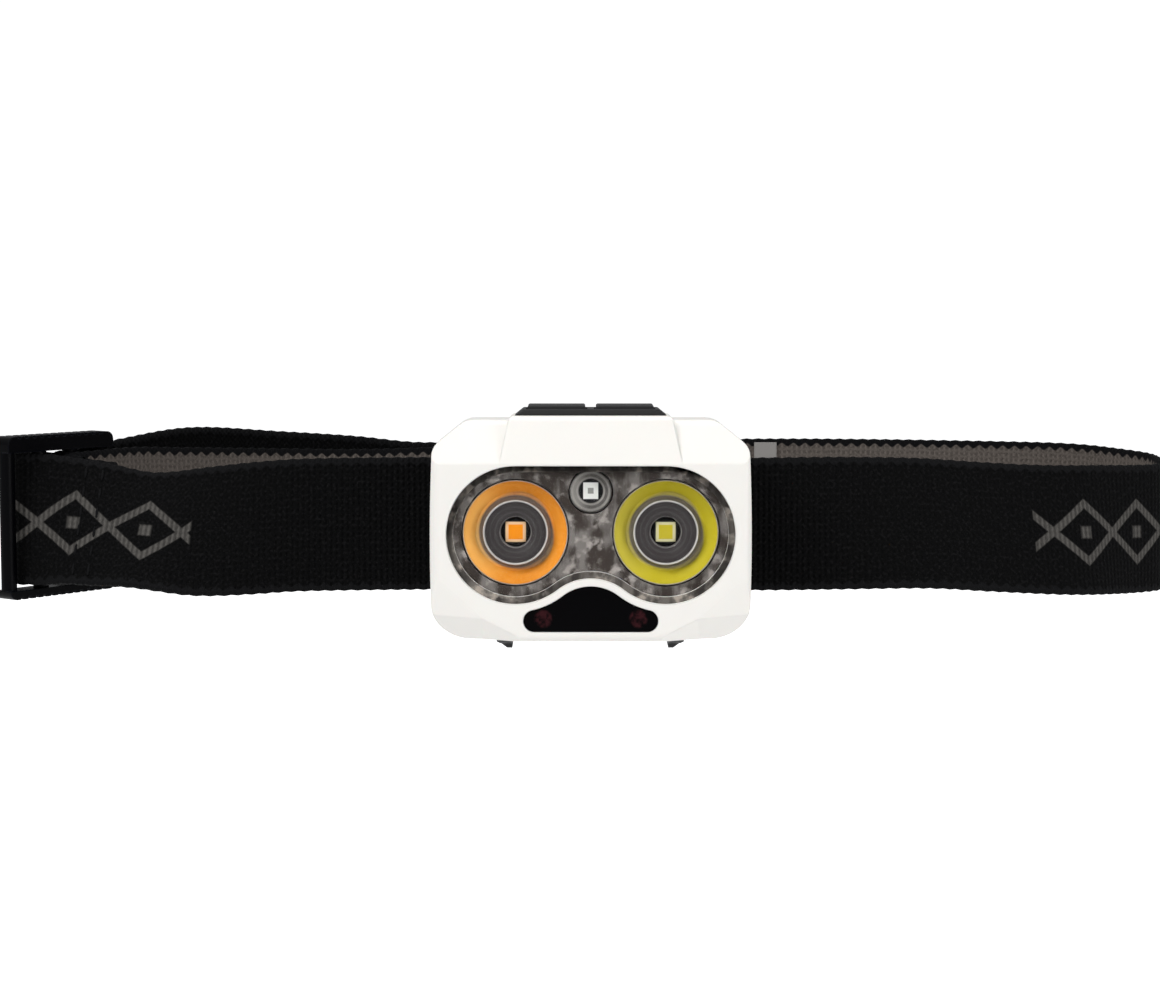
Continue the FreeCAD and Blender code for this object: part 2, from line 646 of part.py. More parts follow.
def switch(side):
    """Tactile switch body with a bore for its plunger."""
    s = SWITCH_SIZE / 2
    z0 = SWITCH_BOARD_Z + BOARD_T
    body = box(pad_x(side) - s, pad_x(side) + s, BUTTON_Y - s, BUTTON_Y + s, z0, SWITCH_TOP)
    return body.cut(rod((pad_x(side), BUTTON_Y, z0 + 0.3), Z, 0.9 + MOVE_GAP, 4))


def plunger(side):
    """Switch plunger that the button's stem pushes."""
    z0 = SWITCH_TOP - 0.3
    return rod((pad_x(side), BUTTON_Y, z0), Z, 0.9, SWITCH_TOP + 0.9 - z0)


def switch_board():
    """Board under the two switches, carried on the cover's inside."""
    return box(-13, 13, BUTTON_Y - 3.4, BUTTON_Y + 3.4, SWITCH_BOARD_Z, SWITCH_BOARD_Z + BOARD_T)


# ---- electronics ------------------------------------------------------------------------
MAIN_Y = BOARD_Y + LED_BOARD_T + 0.4
CELL_BACK = BACK - WALL - 0.1 - FOAM_T


def main_board():
    """Main circuit board behind the emitter board, with its control chip and power parts."""
    board = box(-22, 22, MAIN_Y, MAIN_Y + BOARD_T, high(-10), high(11))
    chips = [box(x - a, x + a, MAIN_Y + BOARD_T - 0.05, MAIN_Y + BOARD_T + t, high(z) - b, high(z) + b)
             for x, z, a, b, t in ((17.5, 8.0, 2.2, 1.8, 0.9), (18.0, -8.2, 1.6, 1.2, 0.8))]
    return fuse_all([board] + chips)


def battery_cell():
    """Pouch cell with rounded long edges."""
    w, t, h = BATTERY
    y1 = CELL_BACK
    outline = rounded("YZ", [(y1 - t, high(-h / 2 + 1.4), 1.4), (y1, high(-h / 2 + 1.4), 1.4),
                             (y1, high(h / 2 + 1.4), 1.4), (y1 - t, high(h / 2 + 1.4), 1.4)])
    outline.translate(Vector(BATTERY_X - w / 2, 0, 0))
    return prism(outline, X * w)


def battery_foam():
    """Foam pad between the cell and the case."""
    w, _, h = BATTERY
    return box(BATTERY_X - w / 2 + 2, BATTERY_X + w / 2 - 2, CELL_BACK, CELL_BACK + FOAM_T,
               high(-h / 2 + 3.4), high(h / 2 - 0.6))


# ---- hinge and bracket ------------------------------------------------------------------
def hinge_pin():
    """Steel pin through ears and lugs."""
    reach = EAR_X + EAR_T
    return rod((-reach, PIN_Y, high(-PIN_DROP)), X, PIN_R, 2 * reach)


def hinge_washers():
    """Two friction washers between the lugs and the ears."""
    rings = []
    for side in (-1, 1):
        x0 = side * EAR_X - (WASHER_T + SEAT_GAP if side > 0 else -SEAT_GAP)
        rings.append(rod((x0, PIN_Y, high(-PIN_DROP)), X, 2.6, WASHER_T)
                     .cut(rod((x0 - 1, PIN_Y, high(-PIN_DROP)), X, PIN_R + PIN_GAP, 4)))
    return group(rings)


PLATE_BACK = -(STRAP_T + SOFT_GAP)
PLATE_FRONT = PLATE_BACK - PLATE_T
SLOT_X = PLATE_W / 2 - END_BAR - SLOT_W


def bracket():
    """Black plate with two webbing slots and a pair of ears for the hinge pin."""
    w, top = PLATE_W / 2, STRAP_W / 2 + 0.6 + PLATE_RIM
    outline = rounded("XZ", [(sx * w, sz * top, 4.5) for sx, sz in ((-1, -1), (1, -1), (1, 1), (-1, 1))])
    body = plate(outline, PLATE_FRONT, PLATE_BACK)
    for side in (-1, 1):
        x0 = SLOT_X if side > 0 else -SLOT_X - SLOT_W
        body = body.cut(box(x0, x0 + SLOT_W, -BIG, BIG, -STRAP_W / 2 - 0.6, STRAP_W / 2 + 0.6))
    parts = [body]
    for side in (-1, 1):
        x0 = EAR_X if side > 0 else -EAR_X - EAR_T
        pin_z = high(-PIN_DROP)
        eye = rod((x0, PIN_Y, pin_z), X, EAR_R, EAR_T)
        arm = box(x0, x0 + EAR_T, PIN_Y, PLATE_BACK, pin_z - EAR_DROP, pin_z + EAR_R)
        ear = eye.fuse(arm)
        tip = Vector(side * (EAR_X + EAR_T), 0, pin_z - EAR_DROP + 1.5)
        ear = ear.cut(half_space(tip, Vector(side * 0.6, 0, -0.8)))
        parts.append(ear.cut(rod((x0 - 1, PIN_Y, pin_z), X, PIN_R, EAR_T + 2)))
    for x in (-9, -3, 3, 9):
        parts.append(box(x - 0.6, x + 0.6, PLATE_FRONT - 0.7, PLATE_FRONT + 0.1, -9, 9))
    return fuse_all(parts)


# ---- headband ---------------------------------------------------------------------------
MID_T = STRAP_T / 2
OUT_Y = PLATE_FRONT - SOFT_GAP - MID_T          # webbing in front of the end bars
PASS_X = SLOT_X + SLOT_W / 2
CROSS = (-MID_T - OUT_Y) / 2                    # half of the webbing's step through a slot
SIDE_N = BAR_T / 2 + SOFT_GAP + MID_T           # webbing beside the slider's bars
REAR_INNER = BAND_BACK - SIDE_N
BAR_STEP = BAR_W + BAR_SLOT
SLIDER_L = 4 * BAR_W + 3 * BAR_SLOT
SLIDER_WAY = Vector(math.cos(math.radians(SLIDER_TURN)), math.sin(math.radians(SLIDER_TURN)), 0)


def beside(u, n, radius=0):
    """Point of a run, from its place along the slider and outwards from the slider's middle."""
    point = Vector(*SLIDER_AT, 0) + SLIDER_WAY * u + Z.cross(SLIDER_WAY) * n
    return (point.x, point.y, radius)


TURN_U = 2 * BAR_STEP - SOFT_GAP - MID_T         # the free end turns round the third bar here
SEWN_BAR = beside(BAR_STEP + BAR_W / 2, 0)      # middle of the bar that holds the sewn end
FOLD_X = SEWN_BAR[0] - SIDE_N - LOOP_SLACK
LAP_X = SEWN_BAR[0] + 6.5                       # where the lap's layers meet
SEWN_END = LAP_X + LAP + 3
FRONT_RISE = 0.13                               # the front run leans back by this much towards the slider


def front_run(x):
    """Depth of the straight left part of the front run."""
    return SEWN_BAR[1] - SIDE_N - FRONT_RISE * (x - FOLD_X)


def strap_main():
    """Webbing from beside the sewn lap, round the front and back to the slider."""
    weave = [(side * (PASS_X + s * CROSS), y, 1.7) for side, order in ((-1, (1, -1)), (1, (-1, 1)))
             for s, y in zip(order, ((OUT_Y, -MID_T) if side < 0 else (-MID_T, OUT_Y)))]
    start = SEWN_END + SLIDE * SLIDER_WAY.x + MOVE_GAP
    run = [(start, front_run(start), 0), (-72, front_run(-72), 90)]
    run += weave
    run += [(62, OUT_Y + 0.8, 90), (98, 3.5, 30), (BAND_RIGHT - 1, 20, 14), (BAND_RIGHT, 42, 16),
            (BAND_RIGHT - 12, BAND_BACK - 4, 14), (70, REAR_INNER, 60), (10, REAR_INNER, 80),
            (-35, BAND_BACK - 6.5, 80), (-72, BAND_BACK - 23, 60), beside(SLIDER_L + 9, -SIDE_N, 20),
            beside(TURN_U + SIDE_N + SLIDE + MOVE_GAP, -SIDE_N)]
    return ribbon(run, STRAP_T, -STRAP_W / 2, STRAP_W / 2)


def strap_sewn_end():
    """End of the webbing, folded round the slider's second bar and sewn to itself."""
    step = STRAP_T + 0.05
    run = [(SEWN_END, front_run(SEWN_END), 0), (FOLD_X, front_run(FOLD_X), SIDE_N - 0.01),
           (FOLD_X, SEWN_BAR[1] + SIDE_N, SIDE_N - 0.01), (SEWN_BAR[0] + 1.6, SEWN_BAR[1] + SIDE_N, 2.4),
           (LAP_X, front_run(LAP_X) + step, 3), (LAP_X + LAP, front_run(LAP_X + LAP) + step, 0)]
    return ribbon(run, STRAP_T, -STRAP_W / 2, STRAP_W / 2)


def strap_tail():
    """Free end of the webbing: round the third bar and back along the outside of the loop."""
    run = [beside(TURN_U + SIDE_N, -SIDE_N), beside(TURN_U, -SIDE_N, SIDE_N - 0.01),
           beside(TURN_U, SIDE_N, SIDE_N - 0.01),
           beside(SLIDER_L + 6, SIDE_N, 25),
           (-78, BAND_BACK - 17.5, 40), (-50, BAND_BACK - 5, 50), (TAIL_END, BAND_BACK + 0.5, 0)]
    return ribbon(run, STRAP_T, -STRAP_W / 2, STRAP_W / 2)


def strap_label():
    """Small blank tag sewn to the inside of the rear run."""
    y1 = REAR_INNER - MID_T - 0.02
    return box(37, 42, y1 - 0.3, y1, STRAP_W / 2 - 5, STRAP_W / 2 - 1.5)


def slider():
    """Four-bar plastic slider with ribbed rails along both edges of the webbing."""
    reach = STRAP_W / 2 + 0.5
    half = BAR_T / 2
    bars = []
    for i in range(4):
        u0, u1 = i * BAR_STEP, i * BAR_STEP + BAR_W
        section = rounded("XY", [(u0, -half, 1.4), (u1, -half, 1.4), (u1, half, 1.4), (u0, half, 1.4)])
        section.translate(Vector(0, 0, -reach - 0.2))
        bars.append(prism(section, Z * (2 * reach + 0.4)))
    rails = []
    for z0, tall, face in ((reach, RAIL_ABOVE, reach + RAIL_ABOVE),
                           (-reach - RAIL_BELOW, RAIL_BELOW, -reach - RAIL_BELOW)):
        rail = box(0, SLIDER_L, -half - 0.9, half + 0.9, z0, z0 + tall)
        corners = [e for e in rail.Edges if abs(e.tangentAt(e.FirstParameter).y) > 0.9
                   and abs(e.CenterOfMass.z) > reach + 0.1]
        rail = rail.makeFillet(1.6, corners)
        grooves = [box(2.4 + i * RIB_PITCH, 3.2 + i * RIB_PITCH, -BIG, BIG, face - 0.45, face + 0.45)
                   for i in range(int((SLIDER_L - 4) / RIB_PITCH))]
        rails.append(rail.cut(grooves))
    shape = fuse_all(bars + rails)
    shape.rotate(Vector(0, 0, 0), Z, SLIDER_TURN)
    shape.translate(Vector(*SLIDER_AT, 0))
    return shape


def stitching():
    """Two rows of thread through the sewn lap."""
    thick, step = 0.24, STRAP_T + 0.05
    lean = math.degrees(math.atan(FRONT_RISE))
    rows = []
    for x in (LAP_X + 2.4, LAP_X + 5.6):
        stitches = []
        for i in range(6):
            z = -STRAP_W / 2 + 3 + i * (STRAP_W - 6) / 5
            for y in (-MID_T - thick - 0.01, step + MID_T + 0.01):
                stitches.append(box(-0.25, 0.25, y, y + thick, z - 1.1, z + 1.1))
        row = group(stitches)
        row.rotate(Vector(0, 0, 0), Z, -lean)
        row.translate(Vector(x, front_run(x), 0))
        rows += row.Solids
    return group(rows)


PIECES = {
    "front_cover": front_cover, "rear_case": rear_case, "case_seal": case_seal, "case_screws": case_screws,
    "lens_window": lens_window, "lens_seal": lens_seal, "optics_holder": optics_holder,
    "spot_collimator": lambda: collimator(optic_sites()[0]),
    "flood_collimator": lambda: collimator(optic_sites()[1]),
    "spot_led": lambda: led(optic_sites()[0]), "flood_led": lambda: led(optic_sites()[1]),
    "centre_lens": centre_lens, "centre_led": centre_led, "led_board": led_board,
    "sensor_window": sensor_window, "sensor_emitter": lambda: dome(-1), "sensor_receiver": lambda: dome(1),
    "sensor_board": sensor_board, "main_board": main_board, "switch_board": switch_board,
    "switch_left": lambda: switch(-1), "switch_right": lambda: switch(1),
    "plunger_left": lambda: plunger(-1), "plunger_right": lambda: plunger(1),
    "button_bezel": button_bezel, "button_left": lambda: button(-1), "button_right": lambda: button(1),
    "battery_cell": battery_cell, "battery_foam": battery_foam, "usb_socket": usb_socket,
    "usb_cover": usb_cover, "charge_light": charge_light, "hinge_pin": hinge_pin,
    "hinge_washers": hinge_washers, "bracket": bracket, "strap_main": strap_main,
    "strap_sewn_end": strap_sewn_end, "strap_tail": strap_tail, "strap_label": strap_label,
    "slider": slider, "stitching": stitching,
}

os.makedirs("parts", exist_ok=True)
for name, make in PIECES.items():
    shape = make()
    count = len(shape.Solids)
    print(f"{name:18s} solids {count}  volume {shape.Volume:9.2f}  valid {shape.isValid()}")
    shape.exportStep(f"parts/{name}.step")
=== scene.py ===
"""Dresses the headlamp's frame: finishes for every moulded, clear and metal piece, turned optics,
and the woven elastic headband as continuous webbing."""
from __future__ import annotations

import json
import logging
import math
from collections.abc import Sequence
from dataclasses import dataclass, field
from enum import Enum

import bpy
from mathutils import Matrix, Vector

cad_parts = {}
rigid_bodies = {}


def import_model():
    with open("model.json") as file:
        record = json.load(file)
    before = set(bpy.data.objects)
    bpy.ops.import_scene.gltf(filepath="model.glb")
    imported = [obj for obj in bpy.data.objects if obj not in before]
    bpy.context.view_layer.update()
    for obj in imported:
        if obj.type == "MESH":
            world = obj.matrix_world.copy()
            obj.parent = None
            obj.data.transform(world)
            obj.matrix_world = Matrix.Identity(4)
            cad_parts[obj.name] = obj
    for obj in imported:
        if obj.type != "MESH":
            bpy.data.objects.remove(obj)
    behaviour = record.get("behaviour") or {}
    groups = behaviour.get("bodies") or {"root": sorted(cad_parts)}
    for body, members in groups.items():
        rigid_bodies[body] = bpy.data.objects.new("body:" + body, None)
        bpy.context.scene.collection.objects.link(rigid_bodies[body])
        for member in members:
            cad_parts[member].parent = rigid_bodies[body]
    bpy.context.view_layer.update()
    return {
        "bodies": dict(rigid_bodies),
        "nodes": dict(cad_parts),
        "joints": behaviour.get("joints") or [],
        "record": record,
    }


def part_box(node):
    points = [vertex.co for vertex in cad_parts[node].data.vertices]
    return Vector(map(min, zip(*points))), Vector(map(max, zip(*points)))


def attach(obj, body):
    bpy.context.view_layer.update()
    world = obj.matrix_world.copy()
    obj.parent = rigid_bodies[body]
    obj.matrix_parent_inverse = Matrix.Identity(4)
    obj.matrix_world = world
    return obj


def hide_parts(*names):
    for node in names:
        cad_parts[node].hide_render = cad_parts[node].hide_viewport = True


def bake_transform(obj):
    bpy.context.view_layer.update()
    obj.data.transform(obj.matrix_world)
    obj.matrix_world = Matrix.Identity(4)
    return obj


LOG = logging.getLogger("headlamp")
MM = 0.001
Colour = tuple[float, float, float]


# ---- node helpers ------------------------------------------------------------------------
class Graph:
    """Short way to add and join nodes in one node tree."""

    def __init__(self, tree: bpy.types.NodeTree) -> None:
        """Keeps the tree that nodes go into.

        Args:
            tree: The material's or group's node tree.
        """
        self.tree = tree

    def add(self, kind: str, **settings: object) -> bpy.types.Node:
        """Adds a node.

        Args:
            kind: The node's type name without its ShaderNode prefix.
            settings: Attributes to set on the node.

        Returns:
            The new node.
        """
        node = self.tree.nodes.new(kind if kind.startswith("Node") else "ShaderNode" + kind)
        for name, value in settings.items():
            setattr(node, name, value)
        return node

    def feed(self, node: bpy.types.Node, **inputs: object) -> bpy.types.Node:
        """Sets or links a node's inputs.

        Args:
            node: The node.
            inputs: Values or sockets by input name, with underscores for spaces.

        Returns:
            The same node.
        """
        for name, value in inputs.items():
            socket = node.inputs[name.replace("_", " ")]
            if isinstance(value, bpy.types.NodeSocket):
                self.tree.links.new(value, socket)
            else:
                socket.default_value = value
        return node

    def math(self, operation: str, a: object, b: object = 0.0, c: object = 0.0,
             clamp: bool = False) -> bpy.types.NodeSocket:
        """Adds a maths node.

        Args:
            operation: Blender's name of the operation.
            a: First value or socket.
            b: Second value or socket.
            c: Third value or socket.
            clamp: Whether to keep the result from 0 to 1.

        Returns:
            The result's socket.
        """
        node = self.add("Math", operation=operation, use_clamp=clamp)
        for socket, value in zip(node.inputs, (a, b, c)):
            if isinstance(value, bpy.types.NodeSocket):
                self.tree.links.new(value, socket)
            else:
                socket.default_value = value
        return node.outputs[0]

    def step(self, value: object, edge: float, soft: float) -> bpy.types.NodeSocket:
        """Value that turns from 0 to 1 as the input passes an edge.

        Args:
            value: Input socket.
            edge: Where the turn is centred.
            soft: Width of the turn.

        Returns:
            The result's socket.
        """
        node = self.add("MapRange", interpolation_type="SMOOTHSTEP")
        self.feed(node, Value=value, From_Min=edge - soft / 2, From_Max=edge + soft / 2)
        return node.outputs["Result"]

    def band(self, value: object, low: float, high: float, soft: float) -> bpy.types.NodeSocket:
        """Value that is 1 between two edges and 0 outside them.

        Args:
            value: Input socket.
            low: Lower edge.
            high: Upper edge.
            soft: Width of the turn at each edge.

        Returns:
            The result's socket.
        """
        return self.math("SUBTRACT", self.step(value, low, soft), self.step(value, high, soft), clamp=True)

    def mix(self, factor: object, a: object, b: object) -> bpy.types.NodeSocket:
        """Mixes two colours.

        Args:
            factor: Share of the second colour.
            a: First colour, or its socket.
            b: Second colour, or its socket.

        Returns:
            The mixed colour's socket.
        """
        node = self.add("Mix", data_type="RGBA")
        for index, value in ((0, factor), (6, a), (7, b)):
            if isinstance(value, bpy.types.NodeSocket):
                self.tree.links.new(value, node.inputs[index])
            elif index == 0:
                node.inputs[index].default_value = value
            else:
                node.inputs[index].default_value = (*value, 1.0)
        return node.outputs[2]

    def local(self) -> bpy.types.NodeSocket:
        """Point on the piece in its own resting coordinates, in metres.

        Returns:
            The point's socket.
        """
        return self.add("TexCoord").outputs["Object"]

    def split(self, vector: bpy.types.NodeSocket) -> bpy.types.bpy_prop_collection:
        """Parts of a vector.

        Args:
            vector: The vector's socket.

        Returns:
            Its X, Y and Z sockets by name.
        """
        node = self.add("SeparateXYZ")
        self.tree.links.new(vector, node.inputs[0])
        return node.outputs

    def run_map(self) -> tuple[bpy.types.NodeSocket, bpy.types.NodeSocket]:
        """Place on the webbing from its map.

        Returns:
            Sockets of the length along it in metres and of the share across it.
        """
        parts = self.split(self.add("TexCoord").outputs["UV"])
        return parts["X"], parts["Y"]

    def reach(self, x: bpy.types.NodeSocket, z: bpy.types.NodeSocket) -> bpy.types.NodeSocket:
        """Distance from a middle.

        Args:
            x: Offset along X.
            z: Offset along Z.

        Returns:
            The distance's socket.
        """
        return self.math("SQRT", self.math("ADD", self.math("MULTIPLY", x, x), self.math("MULTIPLY", z, z)))

    def noise(self, scale: float, detail: float = 2.0, where: object = None) -> bpy.types.NodeSocket:
        """Even noise from 0 to 1.

        Args:
            scale: Features per metre.
            detail: Number of finer layers.
            where: Point to read it at, the piece's own when left out.

        Returns:
            The noise's socket.
        """
        node = self.add("TexNoise")
        self.feed(node, Vector=where or self.local(), Scale=scale, Detail=detail)
        return node.outputs["Fac"]

    def group(self, tree: bpy.types.NodeTree, **inputs: object) -> bpy.types.Node:
        """Places a shared node group.

        Args:
            tree: The group.
            inputs: Values or sockets by input name.

        Returns:
            The group's node.
        """
        node = self.add("Group")
        node.node_tree = tree
        return self.feed(node, **inputs)


class Effect(Enum):
    """Surface effects that several finishes share, by the name of their node group."""

    MOULDED = "moulded_grain"
    EDGE_TINT = "edge_tint"
    DUST = "fine_dust"
    WEAVE = "elastic_weave"


def new_group(name: str, inputs: dict[str, float], outputs: dict[str, str]) -> tuple[Graph, object, object]:
    """Starts a shared shader group.

    Args:
        name: The group's name.
        inputs: Value inputs and their defaults.
        outputs: Output names and their socket types.

    Returns:
        The graph, the group's input node and its output node.
    """
    tree = bpy.data.node_groups.new(name, "ShaderNodeTree")
    for label, value in inputs.items():
        socket = tree.interface.new_socket(label, in_out="INPUT", socket_type="NodeSocketFloat")
        socket.default_value = value
    for label, kind in outputs.items():
        tree.interface.new_socket(label, in_out="OUTPUT", socket_type=kind)
    graph = Graph(tree)
    return graph, graph.add("NodeGroupInput"), graph.add("NodeGroupOutput")


class SharedEffects:
    """Builds each shared node group once."""

    def __init__(self) -> None:
        """Starts with no groups built."""
        self.built: dict[Effect, bpy.types.NodeTree] = {}

    def get(self, effect: Effect) -> bpy.types.NodeTree:
        """The node group of an effect, built on first use.

        Args:
            effect: Which effect.

        Returns:
            Its node tree.
        """
        if effect not in self.built:
            makers = {Effect.MOULDED: self.moulded, Effect.EDGE_TINT: self.edge_tint,
                      Effect.DUST: self.dust, Effect.WEAVE: self.weave}
            self.built[effect] = makers[effect]()
        return self.built[effect]

    def moulded(self) -> bpy.types.NodeTree:
        """Fine spark-eroded grain of moulded plastic: a height and a slow tone variation.

        Returns:
            The group's node tree.
        """
        graph, given, out = new_group(Effect.MOULDED.value, {"Scale": 9000.0},
                                      {"Height": "NodeSocketFloat", "Tone": "NodeSocketFloat"})
        fine = graph.add("TexNoise")
        graph.feed(fine, Vector=graph.local(), Scale=given.outputs["Scale"], Detail=3.0)
        slow = graph.noise(60.0, 3.0)
        graph.feed(out, Height=fine.outputs["Fac"], Tone=slow)
        return graph.tree

    def edge_tint(self) -> bpy.types.NodeTree:
        """Mask of outer edges, broken up by noise, and a normal that softens them.

        Returns:
            The group's node tree.
        """
        graph, given, out = new_group(Effect.EDGE_TINT.value, {"Radius": 0.0004},
                                      {"Mask": "NodeSocketFloat", "Normal": "NodeSocketVector"})
        bevel = graph.add("Bevel", samples=4)
        graph.feed(bevel, Radius=given.outputs["Radius"])
        dot = graph.add("VectorMath", operation="DOT_PRODUCT")
        graph.tree.links.new(bevel.outputs[0], dot.inputs[0])
        graph.tree.links.new(graph.add("NewGeometry").outputs["Normal"], dot.inputs[1])
        turned = graph.math("SUBTRACT", 1.0, dot.outputs["Value"], clamp=True)
        broken = graph.math("MULTIPLY", turned, graph.noise(700.0, 4.0))
        graph.feed(out, Mask=graph.math("MULTIPLY", broken, 6.0, clamp=True), Normal=bevel.outputs[0])
        return graph.tree

    def dust(self) -> bpy.types.NodeTree:
        """Sparse specks and faint haze.

        Returns:
            The group's node tree.
        """
        graph, given, out = new_group(Effect.DUST.value, {"Scale": 900.0, "Amount": 0.5},
                                      {"Specks": "NodeSocketFloat", "Haze": "NodeSocketFloat"})
        cells = graph.add("TexVoronoi")
        graph.feed(cells, Vector=graph.local(), Scale=given.outputs["Scale"])
        near = graph.math("SUBTRACT", 1.0, graph.step(cells.outputs["Distance"], 0.10, 0.06))
        pick = graph.step(graph.noise(400.0, 1.0), 0.62, 0.06)
        specks = graph.math("MULTIPLY", graph.math("MULTIPLY", near, pick), given.outputs["Amount"])
        graph.feed(out, Specks=specks, Haze=graph.step(graph.noise(90.0, 4.0), 0.56, 0.3))
        return graph.tree

    def weave(self) -> bpy.types.NodeTree:
        """Elastic webbing from its map: cross ribs, warp lines and the scalloped woven edges.

        Returns:
            The group's node tree.
        """
        graph, given, out = new_group(Effect.WEAVE.value, {"Rib": 0.0007, "Width": 0.0265},
                                      {"Height": "NodeSocketFloat", "Fleck": "NodeSocketFloat",
                                       "Edge": "NodeSocketFloat"})
        along, across = graph.run_map()
        turns = graph.math("DIVIDE", along, given.outputs["Rib"])
        rib = graph.math("SINE", graph.math("MULTIPLY", turns, math.tau))
        wide = graph.math("MULTIPLY", across, given.outputs["Width"])
        warp_turns = graph.math("DIVIDE", wide, given.outputs["Rib"])
        warp = graph.math("SINE", graph.math("MULTIPLY", warp_turns, math.tau * 0.9))
        cross = graph.math("MULTIPLY", rib, warp)
        height = graph.math("ADD", graph.math("MULTIPLY", rib, 0.45), graph.math("MULTIPLY", cross, 0.35))
        place = graph.add("CombineXYZ")
        graph.tree.links.new(along, place.inputs[0])
        graph.tree.links.new(wide, place.inputs[1])
        fleck = graph.noise(1500.0, 3.0, place.outputs[0])
        scallop = graph.math("SINE", graph.math("MULTIPLY", graph.math("DIVIDE", along, 0.0026), math.tau))
        rim = graph.math("ABSOLUTE", graph.math("SUBTRACT", across, 0.5))
        reach = graph.math("SUBTRACT", rim, graph.math("MULTIPLY", scallop, 0.011))
        graph.feed(out, Height=height, Fleck=fleck, Edge=graph.step(reach, 0.445, 0.012))
        return graph.tree


EFFECTS = SharedEffects()


def start_material(name: str) -> tuple[Graph, bpy.types.Node, bpy.types.Node]:
    """Empty material with a Principled shader.

    Args:
        name: The material's name.

    Returns:
        Its graph, its Principled node and its output node.
    """
    material = bpy.data.materials.new(name)
    material.use_nodes = True
    material.node_tree.nodes.clear()
    graph = Graph(material.node_tree)
    shader, out = graph.add("BsdfPrincipled"), graph.add("OutputMaterial")
    graph.tree.links.new(shader.outputs[0], out.inputs["Surface"])
    return graph, shader, out


def tint(colour: Colour, factor: float) -> Colour:
    """The same colour, lighter or darker.

    Args:
        colour: The colour.
        factor: What each part is multiplied by.

    Returns:
        The new colour.
    """
    return tuple(min(1.0, part * factor) for part in colour)


# ---- finishes ----------------------------------------------------------------------------
@dataclass(frozen=True)
class MouldedFinish:
    """Moulded plastic or rubber with grain, softened edges in their own tint and, where asked, dust specks.
    """

    name: str
    colour: Colour
    roughness: float
    grain: float = 0.04
    grain_scale: float = 9000.0
    edge_colour: Colour | None = None
    edge_radius: float = 0.0005
    coat: float = 0.0
    tone: float = 0.06
    dust: float = 0.0
    subsurface: float = 0.0
    specular: float = 0.5

    def build(self) -> bpy.types.Material:
        """Makes the material.

        Returns:
            The material.
        """
        graph, shader, _ = start_material(self.name)
        grain = graph.group(EFFECTS.get(Effect.MOULDED), Scale=self.grain_scale)
        edge = graph.group(EFFECTS.get(Effect.EDGE_TINT), Radius=self.edge_radius)
        dim, bright = tint(self.colour, 1 - self.tone), tint(self.colour, 1 + self.tone)
        colour = graph.mix(grain.outputs["Tone"], dim, bright)
        # Edges are mixed towards their own tint, lighter than the face on every finish given here.
        colour = graph.mix(edge.outputs["Mask"], colour, self.edge_colour or tint(self.colour, 1.25))
        if self.dust:
            dust = graph.group(EFFECTS.get(Effect.DUST), Amount=self.dust)
            colour = graph.mix(dust.outputs["Specks"], colour, (0.55, 0.53, 0.50))
        rough = graph.add("MapRange")
        graph.feed(rough, Value=grain.outputs["Tone"], To_Min=self.roughness * 0.88,
                   To_Max=self.roughness * 1.12)
        bump = graph.add("Bump")
        graph.feed(bump, Strength=self.grain, Distance=0.0001, Height=grain.outputs["Height"],
                   Normal=edge.outputs["Normal"])
        graph.feed(shader, Base_Color=colour, Roughness=rough.outputs[0], Normal=bump.outputs[0])
        shader.inputs["Coat Weight"].default_value = self.coat
        shader.inputs["Specular IOR Level"].default_value = self.specular
        shader.inputs["Coat Roughness"].default_value = 0.08
        if self.subsurface:
            graph.feed(shader, Subsurface_Weight=self.subsurface, Subsurface_Scale=0.001)
        return bpy.data.materials[self.name]


@dataclass(frozen=True)
class MetalFinish:
    """Plated, brushed or foil metal."""

    name: str
    colour: Colour
    roughness: float
    brushed: float = 0.25

    def build(self) -> bpy.types.Material:
        """Makes the material.

        Returns:
            The material.
        """
        graph, shader, _ = start_material(self.name)
        stretch = graph.add("Mapping")
        graph.feed(stretch, Vector=graph.local(), Scale=(400.0, 9000.0, 9000.0))
        lines = graph.noise(1.0, 2.0, stretch.outputs[0])
        edge = graph.group(EFFECTS.get(Effect.EDGE_TINT), Radius=0.0002)
        bump = graph.add("Bump")
        graph.feed(bump, Strength=self.brushed, Distance=0.00005, Height=lines,
                   Normal=edge.outputs["Normal"])
        rough = graph.add("MapRange")
        graph.feed(rough, Value=lines, To_Min=self.roughness * 0.7, To_Max=self.roughness * 1.3)
        colour = graph.mix(lines, tint(self.colour, 0.9), tint(self.colour, 1.08))
        graph.feed(shader, Base_Color=colour, Metallic=1.0, Roughness=rough.outputs[0],
                   Normal=bump.outputs[0])
        return bpy.data.materials[self.name]


